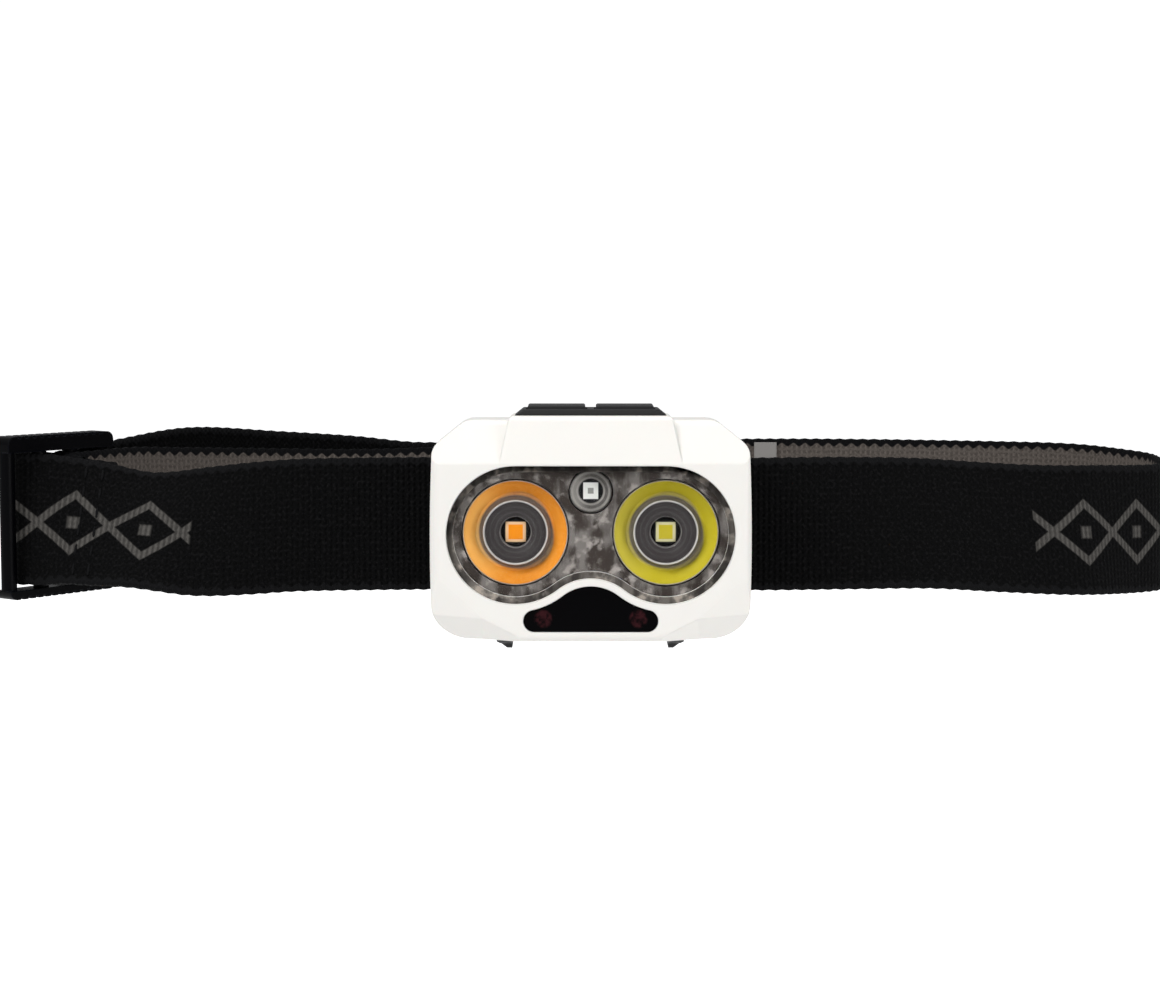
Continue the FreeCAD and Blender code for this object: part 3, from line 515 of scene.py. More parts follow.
@dataclass(frozen=True)
class ClearFinish:
    """Clear plastic that lets light in to what is behind it."""

    name: str
    colour: Colour = (0.97, 0.98, 0.98)
    roughness: float = 0.02
    haze: float = 0.10
    ior: float = 1.3

    def build(self) -> bpy.types.Material:
        """Makes the material.

        Returns:
            The material.
        """
        graph, shader, out = start_material(self.name)
        dust = graph.group(EFFECTS.get(Effect.DUST), Scale=700.0, Amount=0.4)
        rough = graph.add("MapRange")
        graph.feed(rough, Value=dust.outputs["Haze"], To_Min=self.roughness,
                   To_Max=self.roughness + self.haze)
        colour = graph.mix(dust.outputs["Haze"], self.colour, tint(self.colour, 0.93))
        graph.feed(shader, Base_Color=colour, Transmission_Weight=1.0, IOR=self.ior,
                   Roughness=rough.outputs[0])
        shadow = graph.add("MixShader")
        graph.tree.links.new(graph.add("LightPath").outputs["Is Shadow Ray"], shadow.inputs[0])
        graph.tree.links.new(shader.outputs[0], shadow.inputs[1])
        graph.tree.links.new(graph.add("BsdfTransparent").outputs[0], shadow.inputs[2])
        graph.tree.links.new(shadow.outputs[0], out.inputs["Surface"])
        return bpy.data.materials[self.name]


@dataclass(frozen=True)
class Ring:
    """One ring of an optic's pattern: from an inner radius outwards, in metres."""

    start: float
    colour: Colour
    soft: float = 0.0002


@dataclass(frozen=True)
class Chip:
    """Emitter seen through an optic's middle: a square package and the phosphor on it, in millimetres."""

    package: tuple[float, float]
    border: Colour
    phosphor: tuple[float, float]
    core: Colour


@dataclass(frozen=True)
class OpticFinish:
    """Reflecting optic seen face on: rings of colour about its axis, under a clear coat, with painted
    shading on the outer ring's top and bottom, a painted highlight on its left side and painted light
    flecks.
    """

    name: str
    centre: tuple[float, float]
    rings: tuple[Ring, ...]
    # Painted highlight colour for the ring's left side, and painted shading colour for its top and bottom.
    painted_highlight: Colour
    painted_shade: Colour
    ring_span: tuple[float, float]
    ripple: float
    chip: Chip

    def build(self) -> bpy.types.Material:
        """Makes the material.

        Returns:
            The material.
        """
        graph, shader, _ = start_material(self.name)
        place = graph.split(graph.local())
        x = graph.math("SUBTRACT", place["X"], self.centre[0])
        z = graph.math("SUBTRACT", place["Z"], self.centre[1])
        radius = graph.reach(x, z)
        angle = graph.math("ARCTAN2", z, x)
        lobes = graph.math("SINE", graph.math("MULTIPLY_ADD", angle, 3.0, 0.7))
        wavy = graph.math("MULTIPLY_ADD", lobes, self.ripple, radius)
        colour: object = self.rings[0].colour
        for ring in self.rings[1:]:
            source = wavy if self.ring_span[0] < ring.start < self.ring_span[1] - 0.001 else radius
            colour = graph.mix(graph.step(source, ring.start, ring.soft), colour, ring.colour)
        inside = graph.band(radius, self.ring_span[0], self.ring_span[1], 0.0005)
        upward = graph.math("DIVIDE", z, radius)
        # Painted shading on the ring's top and bottom, and a painted highlight on its left side.
        above = graph.math("MULTIPLY", graph.step(upward, 0.55, 1.1), inside)
        under = graph.math("MULTIPLY", graph.step(upward, -0.8, 0.5), inside)
        left = graph.step(graph.math("DIVIDE", x, radius), -0.55, 0.9)
        colour = graph.mix(graph.math("MULTIPLY", above, 0.55), colour, self.painted_shade)
        low = graph.math("SUBTRACT", inside, under, clamp=True)
        colour = graph.mix(graph.math("MULTIPLY", low, 0.35), colour, self.painted_shade)
        bright = graph.math("MULTIPLY", graph.math("SUBTRACT", 1.0, left), inside)
        colour = graph.mix(graph.math("MULTIPLY", bright, 0.6), colour, self.painted_highlight)
        # Painted light flecks: noise mixes a brighter copy of the painted highlight over the ring.
        painted_glint_flecks = graph.math("MULTIPLY", graph.noise(1400.0, 3.0), 0.3)
        colour = graph.mix(graph.math("MULTIPLY", painted_glint_flecks, inside), colour, tint(self.painted_highlight, 1.3))
        for half, fill in ((self.chip.package, self.chip.border), (self.chip.phosphor, self.chip.core)):
            wide = graph.math("DIVIDE", graph.math("ABSOLUTE", x), half[0] * MM)
            tall = graph.math("DIVIDE", graph.math("ABSOLUTE", z), half[1] * MM)
            within = graph.math("SUBTRACT", 1.0, graph.step(graph.math("MAXIMUM", wide, tall), 1.0, 0.08))
            colour = graph.mix(within, colour, fill)
        graph.feed(shader, Base_Color=colour, Roughness=0.4)
        shader.inputs["Coat Weight"].default_value = 0.12
        shader.inputs["Coat Roughness"].default_value = 0.05
        shader.inputs["Specular IOR Level"].default_value = 0.15
        return bpy.data.materials[self.name]


@dataclass(frozen=True)
class WindowFinish:
    """Glossy black window with the sensor's two domes faintly showing through it."""

    name: str
    colour: Colour
    dome: Colour
    sites: tuple[tuple[float, float], ...] = ((-8.85, -15.1), (8.85, -15.1))
    radius: float = 1.6

    def build(self) -> bpy.types.Material:
        """Makes the material.

        Returns:
            The material.
        """
        graph, shader, _ = start_material(self.name)
        place = graph.split(graph.local())
        mottle = graph.noise(900.0, 3.0)
        colour = graph.mix(mottle, tint(self.colour, 0.7), tint(self.colour, 1.4))
        for x, z in self.sites:
            reach = graph.reach(graph.math("SUBTRACT", place["X"], x * MM),
                                graph.math("SUBTRACT", place["Z"], z * MM))
            seen = graph.math("SUBTRACT", 1.0, graph.step(reach, self.radius * MM, 0.0006))
            patchy = graph.math("MULTIPLY", seen, graph.step(mottle, 0.48, 0.3))
            colour = graph.mix(patchy, colour, self.dome)
        graph.feed(shader, Base_Color=colour, Roughness=graph.math("MULTIPLY_ADD", mottle, 0.05, 0.06))
        shader.inputs["Specular IOR Level"].default_value = 0.04
        return bpy.data.materials[self.name]


@dataclass(frozen=True)
class ReflectorFinish:
    """Dull metallised plastic between the optics, with painted reflections in lighter upright bands and
    painted foggy highlight spots.
    """

    name: str
    colour: Colour
    # Colour of the painted reflections; the painted highlight spots are twice as light.
    painted_streak: Colour

    def build(self) -> bpy.types.Material:
        """Makes the material.

        Returns:
            The material.
        """
        graph, shader, _ = start_material(self.name)
        stretch = graph.add("Mapping")
        graph.feed(stretch, Vector=graph.local(), Scale=(520.0, 520.0, 110.0))
        painted_streaks = graph.noise(1.0, 3.0, stretch.outputs[0])
        cloud = graph.noise(190.0, 4.0)
        # Painted highlight spots, mixed in at twice the painted reflection colour.
        spots = graph.step(graph.noise(420.0, 4.0), 0.57, 0.14)
        painted_glint_spots = graph.math("MULTIPLY", spots, graph.step(cloud, 0.47, 0.2))
        # Painted reflections: lighter upright bands where the stretched noise meets the cloud.
        painted_reflection_mask = graph.step(graph.math("MULTIPLY", painted_streaks, cloud), 0.27, 0.16)
        colour = graph.mix(painted_reflection_mask, self.colour, self.painted_streak)
        colour = graph.mix(painted_glint_spots, colour, tint(self.painted_streak, 2.0))
        bump = graph.add("Bump")
        graph.feed(bump, Strength=0.25, Distance=0.0002, Height=cloud)
        graph.feed(shader, Base_Color=colour, Roughness=graph.math("MULTIPLY_ADD", cloud, 0.3, 0.3),
                   Normal=bump.outputs[0])
        shader.inputs["Specular IOR Level"].default_value = 0.25
        return bpy.data.materials[self.name]


@dataclass(frozen=True)
class Motif:
    """Woven marks along part of the webbing: where they start and stop, in metres along it."""

    start: float
    stop: float


@dataclass(frozen=True)
class WebbingFinish:
    """One face of the woven elastic."""

    name: str
    ground: Colour
    fleck: Colour
    edge: Colour
    mark: Colour
    motifs: tuple[Motif, ...] = ()
    rib: float = 0.0011
    width: float = 0.0265
    depth: float = 0.00022

    def build(self) -> bpy.types.Material:
        """Makes the material.

        Returns:
            The material.
        """
        graph, shader, _ = start_material(self.name)
        weave = graph.group(EFFECTS.get(Effect.WEAVE), Rib=self.rib, Width=self.width)
        # Painted shading in the weave: the colour follows its height, darker in the valleys and lighter on
        # the rib tops.
        high = graph.math("MULTIPLY_ADD", weave.outputs["Height"], 0.5, 0.5)
        ground = graph.mix(high, tint(self.ground, 0.62), tint(self.ground, 1.25))
        ground = graph.mix(graph.step(weave.outputs["Fleck"], 0.58, 0.16), ground, self.fleck)
        height = weave.outputs["Height"]
        if self.motifs:
            mask = self.marks(graph)
            ground = graph.mix(mask, ground, self.mark)
            height = graph.math("ADD", height, mask)
        colour = graph.mix(weave.outputs["Edge"], ground, self.edge)
        bump = graph.add("Bump")
        graph.feed(bump, Strength=0.9, Distance=self.depth, Height=height)
        rough = graph.math("MULTIPLY_ADD", weave.outputs["Fleck"], 0.2, 0.72)
        graph.feed(shader, Base_Color=colour, Roughness=rough, Normal=bump.outputs[0])
        shader.inputs["Sheen Weight"].default_value = 0.006
        shader.inputs["Sheen Roughness"].default_value = 0.5
        shader.inputs["Specular IOR Level"].default_value = 0.05
        return bpy.data.materials[self.name]

    def marks(self, graph: Graph) -> bpy.types.NodeSocket:
        """Chain of diamonds with a dot in each, only along the motifs' lengths.

        Args:
            graph: Graph of the material.

        Returns:
            Mask socket.
        """
        along, across = graph.run_map()
        lift = graph.math("ABSOLUTE", graph.math("SUBTRACT", across, 0.48))
        wave = graph.math("PINGPONG", graph.math("DIVIDE", along, 0.0074), 1.0)
        line = graph.math("ABSOLUTE", graph.math("MULTIPLY_ADD", wave, -0.22, lift))
        diamonds = graph.math("SUBTRACT", 1.0, graph.step(line, 0.036, 0.016))
        dot = graph.math("MAXIMUM", lift, graph.math("MULTIPLY", graph.math("SUBTRACT", 1.0, wave), 0.27))
        dots = graph.math("SUBTRACT", 1.0, graph.step(dot, 0.045, 0.02))
        twist = graph.math("SINE", graph.math("DIVIDE", along, 0.00016))
        strands = graph.math("MULTIPLY_ADD", twist, 0.25, 0.75)
        pattern = graph.math("MULTIPLY", graph.math("MAXIMUM", diamonds, dots), strands)
        where: object = 0.0
        for motif in self.motifs:
            where = graph.math("MAXIMUM", where, graph.band(along, motif.start, motif.stop, 0.0004))
        return graph.math("MULTIPLY", pattern, where)


class Slot(Enum):
    """Material slots of the part."""

    SHELL = "shell_white"
    CASE = "case_black"
    RUBBER = "rubber_black"
    LENS = "lens_clear"
    OPTIC = "optic_clear"
    HOLDER = "holder_grey"
    SEAL = "seal_smoked"
    LED = "led_package"
    BOARD = "board_metal"
    GREEN = "board_green"
    WINDOW = "window_black"
    DOME = "dome_dark"
    SWITCH = "switch_metal"
    STEEL = "steel"
    FOIL = "cell_foil"
    FOAM = "foam"
    BRACKET = "bracket_black"
    SLIDER = "slider_black"
    WEBBING = "webbing"
    THREAD = "thread"
    TAG = "tag_cloth"


FINISHES: dict[Slot, object] = {
    Slot.SHELL: MouldedFinish("white_satin_shell", (0.82, 0.80, 0.76), 0.34, grain=0.03,
                              edge_colour=(0.86, 0.845, 0.82), tone=0.02, subsurface=0.05),
    Slot.CASE: MouldedFinish("black_sparked_case", (0.006, 0.006, 0.0065), 0.55, grain=0.25,
                             grain_scale=5000.0, edge_colour=(0.020, 0.020, 0.022)),
    Slot.RUBBER: MouldedFinish("black_soft_rubber", (0.007, 0.007, 0.0075), 0.62, grain=0.12,
                               edge_colour=(0.045, 0.045, 0.048), dust=0.12),
    Slot.LENS: ClearFinish("clear_window", haze=0.04, ior=1.06),
    Slot.OPTIC: ClearFinish("clear_optic", haze=0.03),
    Slot.HOLDER: ReflectorFinish("metallised_holder", (0.030, 0.022, 0.018), (0.15, 0.135, 0.125)),
    # The seal's colours are painted light: far lighter than the holder's, so that the seal shows the
    # holder's tone although it sits in shade behind the lens; it also carries painted reflections and
    # highlight spots.
    Slot.SEAL: ReflectorFinish("smoked_seal", (0.13, 0.115, 0.105), (0.36, 0.33, 0.30)),
    Slot.LED: MouldedFinish("ceramic_package", (0.78, 0.76, 0.66), 0.5, grain=0.05),
    Slot.BOARD: MetalFinish("board_aluminium", (0.72, 0.72, 0.73), 0.42),
    Slot.GREEN: MouldedFinish("solder_mask", (0.015, 0.10, 0.05), 0.35, grain=0.15, grain_scale=2500.0),
    Slot.WINDOW: WindowFinish("gloss_black_window", (0.0004, 0.0003, 0.0006), (0.030, 0.007, 0.009)),
    Slot.DOME: MouldedFinish("dark_red_dome", (0.06, 0.008, 0.012), 0.15, grain=0.0, coat=0.6),
    Slot.SWITCH: MetalFinish("plated_switch", (0.66, 0.66, 0.67), 0.34),
    Slot.STEEL: MetalFinish("satin_steel", (0.60, 0.60, 0.61), 0.30),
    Slot.FOIL: MetalFinish("cell_foil", (0.55, 0.55, 0.57), 0.38, brushed=0.5),
    Slot.FOAM: MouldedFinish("cell_foam", (0.05, 0.05, 0.055), 0.95, grain=0.9, grain_scale=3000.0),
    Slot.BRACKET: MouldedFinish("black_bracket", (0.006, 0.006, 0.0065), 0.5, grain=0.2, grain_scale=5000.0,
                                edge_colour=(0.05, 0.05, 0.055)),
    Slot.SLIDER: MouldedFinish("black_gloss_slider", (0.0004, 0.0004, 0.0009), 0.34, grain=0.05,
                               specular=0.06, edge_colour=(0.006, 0.007, 0.012), edge_radius=0.0004),
    Slot.THREAD: MouldedFinish("black_thread", (0.004, 0.004, 0.0045), 0.8, grain=0.8, grain_scale=6000.0,
                               specular=0.1),
    Slot.TAG: MouldedFinish("woven_tag", (0.22, 0.21, 0.20), 0.85, grain=0.7, grain_scale=4000.0),
}

NODE_SLOTS: dict[Slot, tuple[str, ...]] = {
    Slot.SHELL: ("front_cover",),
    Slot.CASE: ("rear_case", "button_bezel"),
    Slot.RUBBER: ("case_seal", "button_left", "button_right", "usb_cover"),
    Slot.LENS: ("lens_window",),
    Slot.OPTIC: ("charge_light",),
    Slot.HOLDER: ("optics_holder",),
    Slot.SEAL: ("lens_seal",),
    Slot.LED: ("spot_led", "flood_led", "centre_led"),
    Slot.BOARD: ("led_board",),
    Slot.GREEN: ("sensor_board", "main_board", "switch_board"),
    Slot.WINDOW: ("sensor_window",),
    Slot.DOME: ("sensor_emitter", "sensor_receiver"),
    Slot.SWITCH: ("switch_left", "switch_right", "usb_socket"),
    Slot.STEEL: ("case_screws", "hinge_pin", "plunger_left", "plunger_right"),
    Slot.FOIL: ("battery_cell",),
    Slot.FOAM: ("battery_foam",),
    Slot.BRACKET: ("bracket", "hinge_washers"),
    Slot.SLIDER: ("slider",),
    Slot.TAG: ("strap_label",),
}


class FinishBook:
    """Makes each finish's material once."""

    def __init__(self) -> None:
        """Starts empty."""
        self.made: dict[str, bpy.types.Material] = {}

    def material(self, finish: object) -> bpy.types.Material:
        """The material of a finish, made on first use.

        Args:
            finish: Any of the finishes.

        Returns:
            Its material.
        """
        if finish.name not in self.made:
            self.made[finish.name] = finish.build()
        return self.made[finish.name]


# ---- meshes ------------------------------------------------------------------------------
def mesh_piece(name: str, points: Sequence[Vector], faces: Sequence[Sequence[int]],
               materials: Sequence[bpy.types.Material], face_material: Sequence[int] | None = None,
               maps: Sequence[tuple[float, float]] | None = None, sharp: float = 40.0) -> bpy.types.Object:
    """Makes a smooth-shaded mesh object.

    Args:
        name: Piece name.
        points: Vertices in metres.
        faces: Vertex numbers of each face.
        materials: Materials of the piece.
        face_material: Material number of each face.
        maps: Texture place of each vertex.
        sharp: Angle in degrees above which an edge stays sharp.

    Returns:
        The new object.
    """
    mesh = bpy.data.meshes.new(name)
    mesh.from_pydata([tuple(point) for point in points], [], [tuple(face) for face in faces])
    for material in materials:
        mesh.materials.append(material)
    if face_material:
        mesh.polygons.foreach_set("material_index", list(face_material))
    if maps:
        layer = mesh.uv_layers.new(name="run")
        for loop in mesh.loops:
            layer.data[loop.index].uv = maps[loop.vertex_index]
    mesh.polygons.foreach_set("use_smooth", [True] * len(mesh.polygons))
    mesh.set_sharp_from_angle(angle=math.radians(sharp))
    mesh.update()
    mesh.validate()
    piece = bpy.data.objects.new(name, mesh)
    bpy.context.scene.collection.objects.link(piece)
    return piece


@dataclass(frozen=True)
class Bend:
    """A corner of a run of webbing seen from above, in millimetres, and the radius it is rounded to."""

    x: float
    y: float
    radius: float = 0.0


@dataclass(frozen=True)
class Sway:
    """How the webbing drifts from its middle line near a place on its run: up, and leaning outwards."""

    x: float
    y: float
    rise: float
    lean: float = 0.0


@dataclass(frozen=True)
class Frame:
    """The webbing's middle at one point of its run, and its directions there."""

    centre: Vector
    way: Vector
    tall: Vector
    face: Vector


@dataclass
class Run:
    """A run of webbing as evenly spaced points with their rise and lean."""

    bends: Sequence[Bend]
    sways: Sequence[Sway]
    pitch: float = 0.00065
    points: list[Vector] = field(default_factory=list)
    rise: list[float] = field(default_factory=list)
    lean: list[float] = field(default_factory=list)

    def __post_init__(self) -> None:
        """Lays out the run."""
        self.points = self.spaced(self.rounded())
        stations = []
        first = 0
        for sway in self.sways:
            first = self.index_near(sway.x, sway.y, first)
            stations.append(first)
        self.rise = self.eased(stations, [sway.rise * MM for sway in self.sways])
        self.lean = self.eased(stations, [math.radians(sway.lean) for sway in self.sways])

    def rounded(self) -> list[Vector]:
        """Rounds each corner of the run.

        Returns:
            Points along it.
        """
        corners = [Vector((bend.x * MM, bend.y * MM)) for bend in self.bends]
        path = [corners[0]]
        for before, here, after, bend in zip(corners, corners[1:], corners[2:], self.bends[1:]):
            way_in, way_out = (before - here).normalized(), (after - here).normalized()
            half = math.acos(max(-1.0, min(1.0, way_in.dot(way_out)))) / 2
            if bend.radius <= 0 or math.pi / 2 - half < 1e-3:
                path.append(here)
                continue
            radius = bend.radius * MM
            start = here + way_in * radius / math.tan(half)
            end = here + way_out * radius / math.tan(half)
            centre = here + (way_in + way_out).normalized() * radius / math.sin(half)
            begin = math.atan2(start.y - centre.y, start.x - centre.x)
            sweep = math.atan2(end.y - centre.y, end.x - centre.x) - begin
            sweep = (sweep + math.pi) % math.tau - math.pi
            steps = max(4, int(abs(sweep) * radius / 0.0003))
            for i in range(steps + 1):
                turn = begin + sweep * i / steps
                path.append(centre + Vector((math.cos(turn), math.sin(turn))) * radius)
        path.append(corners[-1])
        return path

    def spaced(self, path: Sequence[Vector]) -> list[Vector]:
        """Spreads points evenly along a path, one pitch apart.

        Args:
            path: Points of the path.

        Returns:
            The even points.
        """
        reach = [0.0]
        for a, b in zip(path, path[1:]):
            reach.append(reach[-1] + (b - a).length)
        count = max(2, round(reach[-1] / self.pitch))
        self.pitch = reach[-1] / count
        result = []
        at = 0
        for i in range(count + 1):
            want = reach[-1] * i / count
            while at < len(path) - 2 and reach[at + 1] < want:
                at += 1
            span = max(1e-12, reach[at + 1] - reach[at])
            result.append(path[at].lerp(path[at + 1], min(1.0, (want - reach[at]) / span)))
        return result

    def index_near(self, x: float, y: float, first: int = 0) -> int:
        """Number of the point nearest a place given in millimetres.

        Args:
            x: Place along X.
            y: Place along Y.
            first: Earlier points are passed over.

        Returns:
            The point's number.
        """
        place = Vector((x * MM, y * MM))
        return min(range(first, len(self.points)), key=lambda i: (self.points[i] - place).length)

    def frame(self, i: int) -> Frame:
        """The webbing's middle and directions at one of the run's points.

        Args:
            i: The point's number.

        Returns:
            The frame there.
        """
        before, after = self.points[max(0, i - 1)], self.points[min(len(self.points) - 1, i + 1)]
        way = (after - before).normalized()
        out, up = Vector((way.y, -way.x, 0)), Vector((0, 0, 1))
        cos, sin = math.cos(self.lean[i]), math.sin(self.lean[i])
        centre = Vector((self.points[i].x, self.points[i].y, self.rise[i]))
        return Frame(centre, Vector((way.x, way.y, 0)), up * cos - out * sin, out * cos + up * sin)

    def eased(self, stations: Sequence[int], values: Sequence[float]) -> list[float]:
        """Runs values smoothly through stations.

        Args:
            stations: Numbers of the points whose values are given.
            values: The value at each station.

        Returns:
            The value at every point of the run.
        """
        result = []
        segment = 0
        for i in range(len(self.points)):
            while segment < len(stations) - 2 and i > stations[segment + 1]:
                segment += 1
            a, b = stations[segment], stations[segment + 1]
            t = min(1.0, max(0.0, (i - a) / max(1, b - a)))
            slopes = []
            for k in (segment, segment + 1):
                low, high = max(0, k - 1), min(len(stations) - 1, k + 1)
                slope = (values[high] - values[low]) / max(1, stations[high] - stations[low])
                slopes.append(slope * (b - a))
            rising = 3 * t ** 2 - 2 * t ** 3
            result.append((1 - rising) * values[segment] + (t ** 3 - 2 * t ** 2 + t) * slopes[0]
                          + rising * values[segment + 1] + (t ** 3 - t ** 2) * slopes[1])
        return result


@dataclass
class Headband:
    """The woven elastic headband: one continuous length, cut only where it moves with the adjuster."""

    book: FinishBook
    width: float = 26.5
    thickness: float = 1.5
    scallop: float = 2.6
    behind_mount: tuple[float, float] = (21.6, -3.0)
    rear_quarter: tuple[float, float] = (-72, 41)
    beside_adjuster: tuple[float, float] = (-103.76, 8.95)
    bends: tuple[Bend, ...] = (
        Bend(-96.15, 0.83), Bend(-104.15, 1.87, 3), Bend(-109.05, 6.69, 2.4), Bend(-115.45, 6.69, 2.49),
        Bend(-115.45, 1.69, 2.49), Bend(-72, -3.96, 90), Bend(-23.8, -5.2, 1.7), Bend(-19.4, -0.8, 1.7),
        Bend(19.4, -0.8, 1.7), Bend(23.8, -5.2, 1.7), Bend(62, -4.4, 90), Bend(98, 3.5, 30),
        Bend(120.5, 20, 14), Bend(121.5, 42, 16), Bend(109.5, 60, 14), Bend(70, 61.5, 60),
        Bend(10, 61.5, 80), Bend(-35, 57.5, 80), Bend(-72, 41, 60), Bend(-92.37, 23.53, 20),
        Bend(-105.3, 6.98, 2.49), Bend(-109.24, 10.06, 2.49), Bend(-98.15, 24.24, 25),
        Bend(-78, 46.5, 40), Bend(-50, 59, 50), Bend(-30, 64.5))
    sways: tuple[Sway, ...] = (
        Sway(-96.15, 0.83, -0.7, -27), Sway(-104.15, 1.87, -0.1, -22), Sway(-110, 6.7, 0.15, -8),
        Sway(-115.45, 4.2, 0.15), Sway(-110, 1.0, 0.15, 8), Sway(-104, 0.2, 0.0, 22),
        Sway(-97, -0.7, -0.7, 29), Sway(-90, -1.6, -1.5, 36), Sway(-84, -2.4, -1.8, 32),
        Sway(-77, -3.3, -1.8, 21), Sway(-67, -4.0, -1.1, 11), Sway(-57, -4.2, -0.45, 6),
        Sway(-31, -5, -0.05), Sway(-19, -0.8, 0), Sway(19, -0.8, 0), Sway(31, -5, -0.2),
        Sway(57, -4.5, 0.0, 14), Sway(67, -4, -0.2, 17), Sway(78.5, -1, -1.1, 17),
        Sway(90, 1, -1.9, 16), Sway(102, 6, -2.5, 9), Sway(114, 15, -3.1, 2), Sway(120.5, 30, -3.0),
        Sway(117, 52, -2.0), Sway(95, 61, -1.2), Sway(40, 61.5, -0.6), Sway(0, 61, -1.4),
        Sway(-45, 53.5, -2.3), Sway(-66, 43.5, -1.6), Sway(-86, 29, -0.4), Sway(-95, 20, 0.2),
        Sway(-104, 9, 0), Sway(-109, 8, 0), Sway(-104, 16.5, 0.3), Sway(-98.5, 24, 1.6),
        Sway(-86, 38, 3.3), Sway(-68, 51, 1.7), Sway(-52, 58, 0.2), Sway(-40, 61.5, -1.3),
        Sway(-31, 64.2, -1.6))
    section: tuple[tuple[float, float], ...] = (
        (-0.494, 0.55), (-0.482, 0.88), (-0.462, 1.0), (-0.44, 0.97), (-0.425, 0.86), (-0.40, 0.88),
        (-0.33, 0.92), (-0.2, 0.96), (-0.07, 0.98), (0.07, 0.98), (0.2, 0.96), (0.33, 0.92),
        (0.40, 0.88), (0.425, 0.86), (0.44, 0.97), (0.462, 1.0), (0.482, 0.88), (0.494, 0.55))

    def build(self) -> list[bpy.types.Object]:
        """Builds the webbing's pieces, leaves the front and rear unparented in place and puts the tail on
        the adjuster.

        Returns:
            The front, rear and tail pieces.
        """
        run = Run(self.bends, self.sways)
        faces = self.materials(run)
        through = run.index_near(*self.behind_mount)
        fixed = run.index_near(*self.beside_adjuster, run.index_near(*self.rear_quarter))
        front = self.length(run, "headband_front", 0, through, faces)
        rear = self.length(run, "headband_rear", through, fixed, faces)
        tail = self.length(run, "headband_tail", fixed, len(run.points) - 1, faces)
        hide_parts("strap_main", "strap_sewn_end")
        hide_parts("strap_main")
        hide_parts("strap_tail")
        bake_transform(front)
        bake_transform(rear)
        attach(tail, "adjuster")
        for piece in (front, rear, tail):
            LOG.info("webbing %s: %d faces", piece.name, len(piece.data.polygons))
        SewnLap(self.book, run).build()
        return [front, rear, tail]

    def materials(self, run: Run) -> list[bpy.types.Material]:
        """Makes the faces' materials, with the woven marks in their places on the run.

        Args:
            run: The whole run.

        Returns:
            The outer face's material and the inner face's.
        """
        fold = run.index_near(-115.4, 2.5)

        def along(x: float, y: float) -> float:
            """Length of webbing up to a place."""
            return run.index_near(x, y, fold) * run.pitch

        motifs = (Motif(along(-115.4, 2.5), along(-79, -3.2)), Motif(along(88.5, 1), along(119, 22)))
        outer = WebbingFinish("webbing_outer", (0.0018, 0.0018, 0.0019), (0.0055, 0.0053, 0.0056),
                              (0.006, 0.006, 0.0065), (0.085, 0.080, 0.074), motifs)
        inner = WebbingFinish("webbing_inner", (0.105, 0.090, 0.080), (0.070, 0.060, 0.053),
                              (0.004, 0.004, 0.0045), (0.1, 0.1, 0.1))
        return [self.book.material(outer), self.book.material(inner)]

    def length(self, run: Run, name: str, first: int, last: int,
               materials: Sequence[bpy.types.Material]) -> bpy.types.Object:
        """One length of webbing as a closed mesh.

        Args:
            run: The whole run.
            name: Piece name.
            first: Number of its first point.
            last: Number of its last point.
            materials: Outer and inner face.

        Returns:
            The piece.
        """
        ring = [(v, n) for v, n in self.section] + [(v, -n) for v, n in reversed(self.section)]
        points, maps = [], []
        for i in range(first, last + 1):
            frame = run.frame(i)
            wave = 1 + 0.007 * math.sin(math.tau * i * run.pitch / (self.scallop * MM))
            for v, n in ring:
                points.append(frame.centre + frame.tall * v * self.width * wave * MM
                              + frame.face * n * self.thickness / 2 * MM)
                maps.append((i * run.pitch, v + 0.5))
        size, half = len(ring), len(self.section)
        faces, sides = [], []
        for i in range(last - first):
            for k in range(size):
                a, b = i * size + k, i * size + (k + 1) % size
                faces.append((a, b, b + size, a + size))
                sides.append(0 if k < half - 1 or k == size - 1 or k == half - 1 else 1)
        faces.append(tuple(range(size)))
        faces.append(tuple((last - first) * size + k for k in reversed(range(size))))
        sides += [0, 0]
        return mesh_piece(name, points, faces, materials, sides, maps)


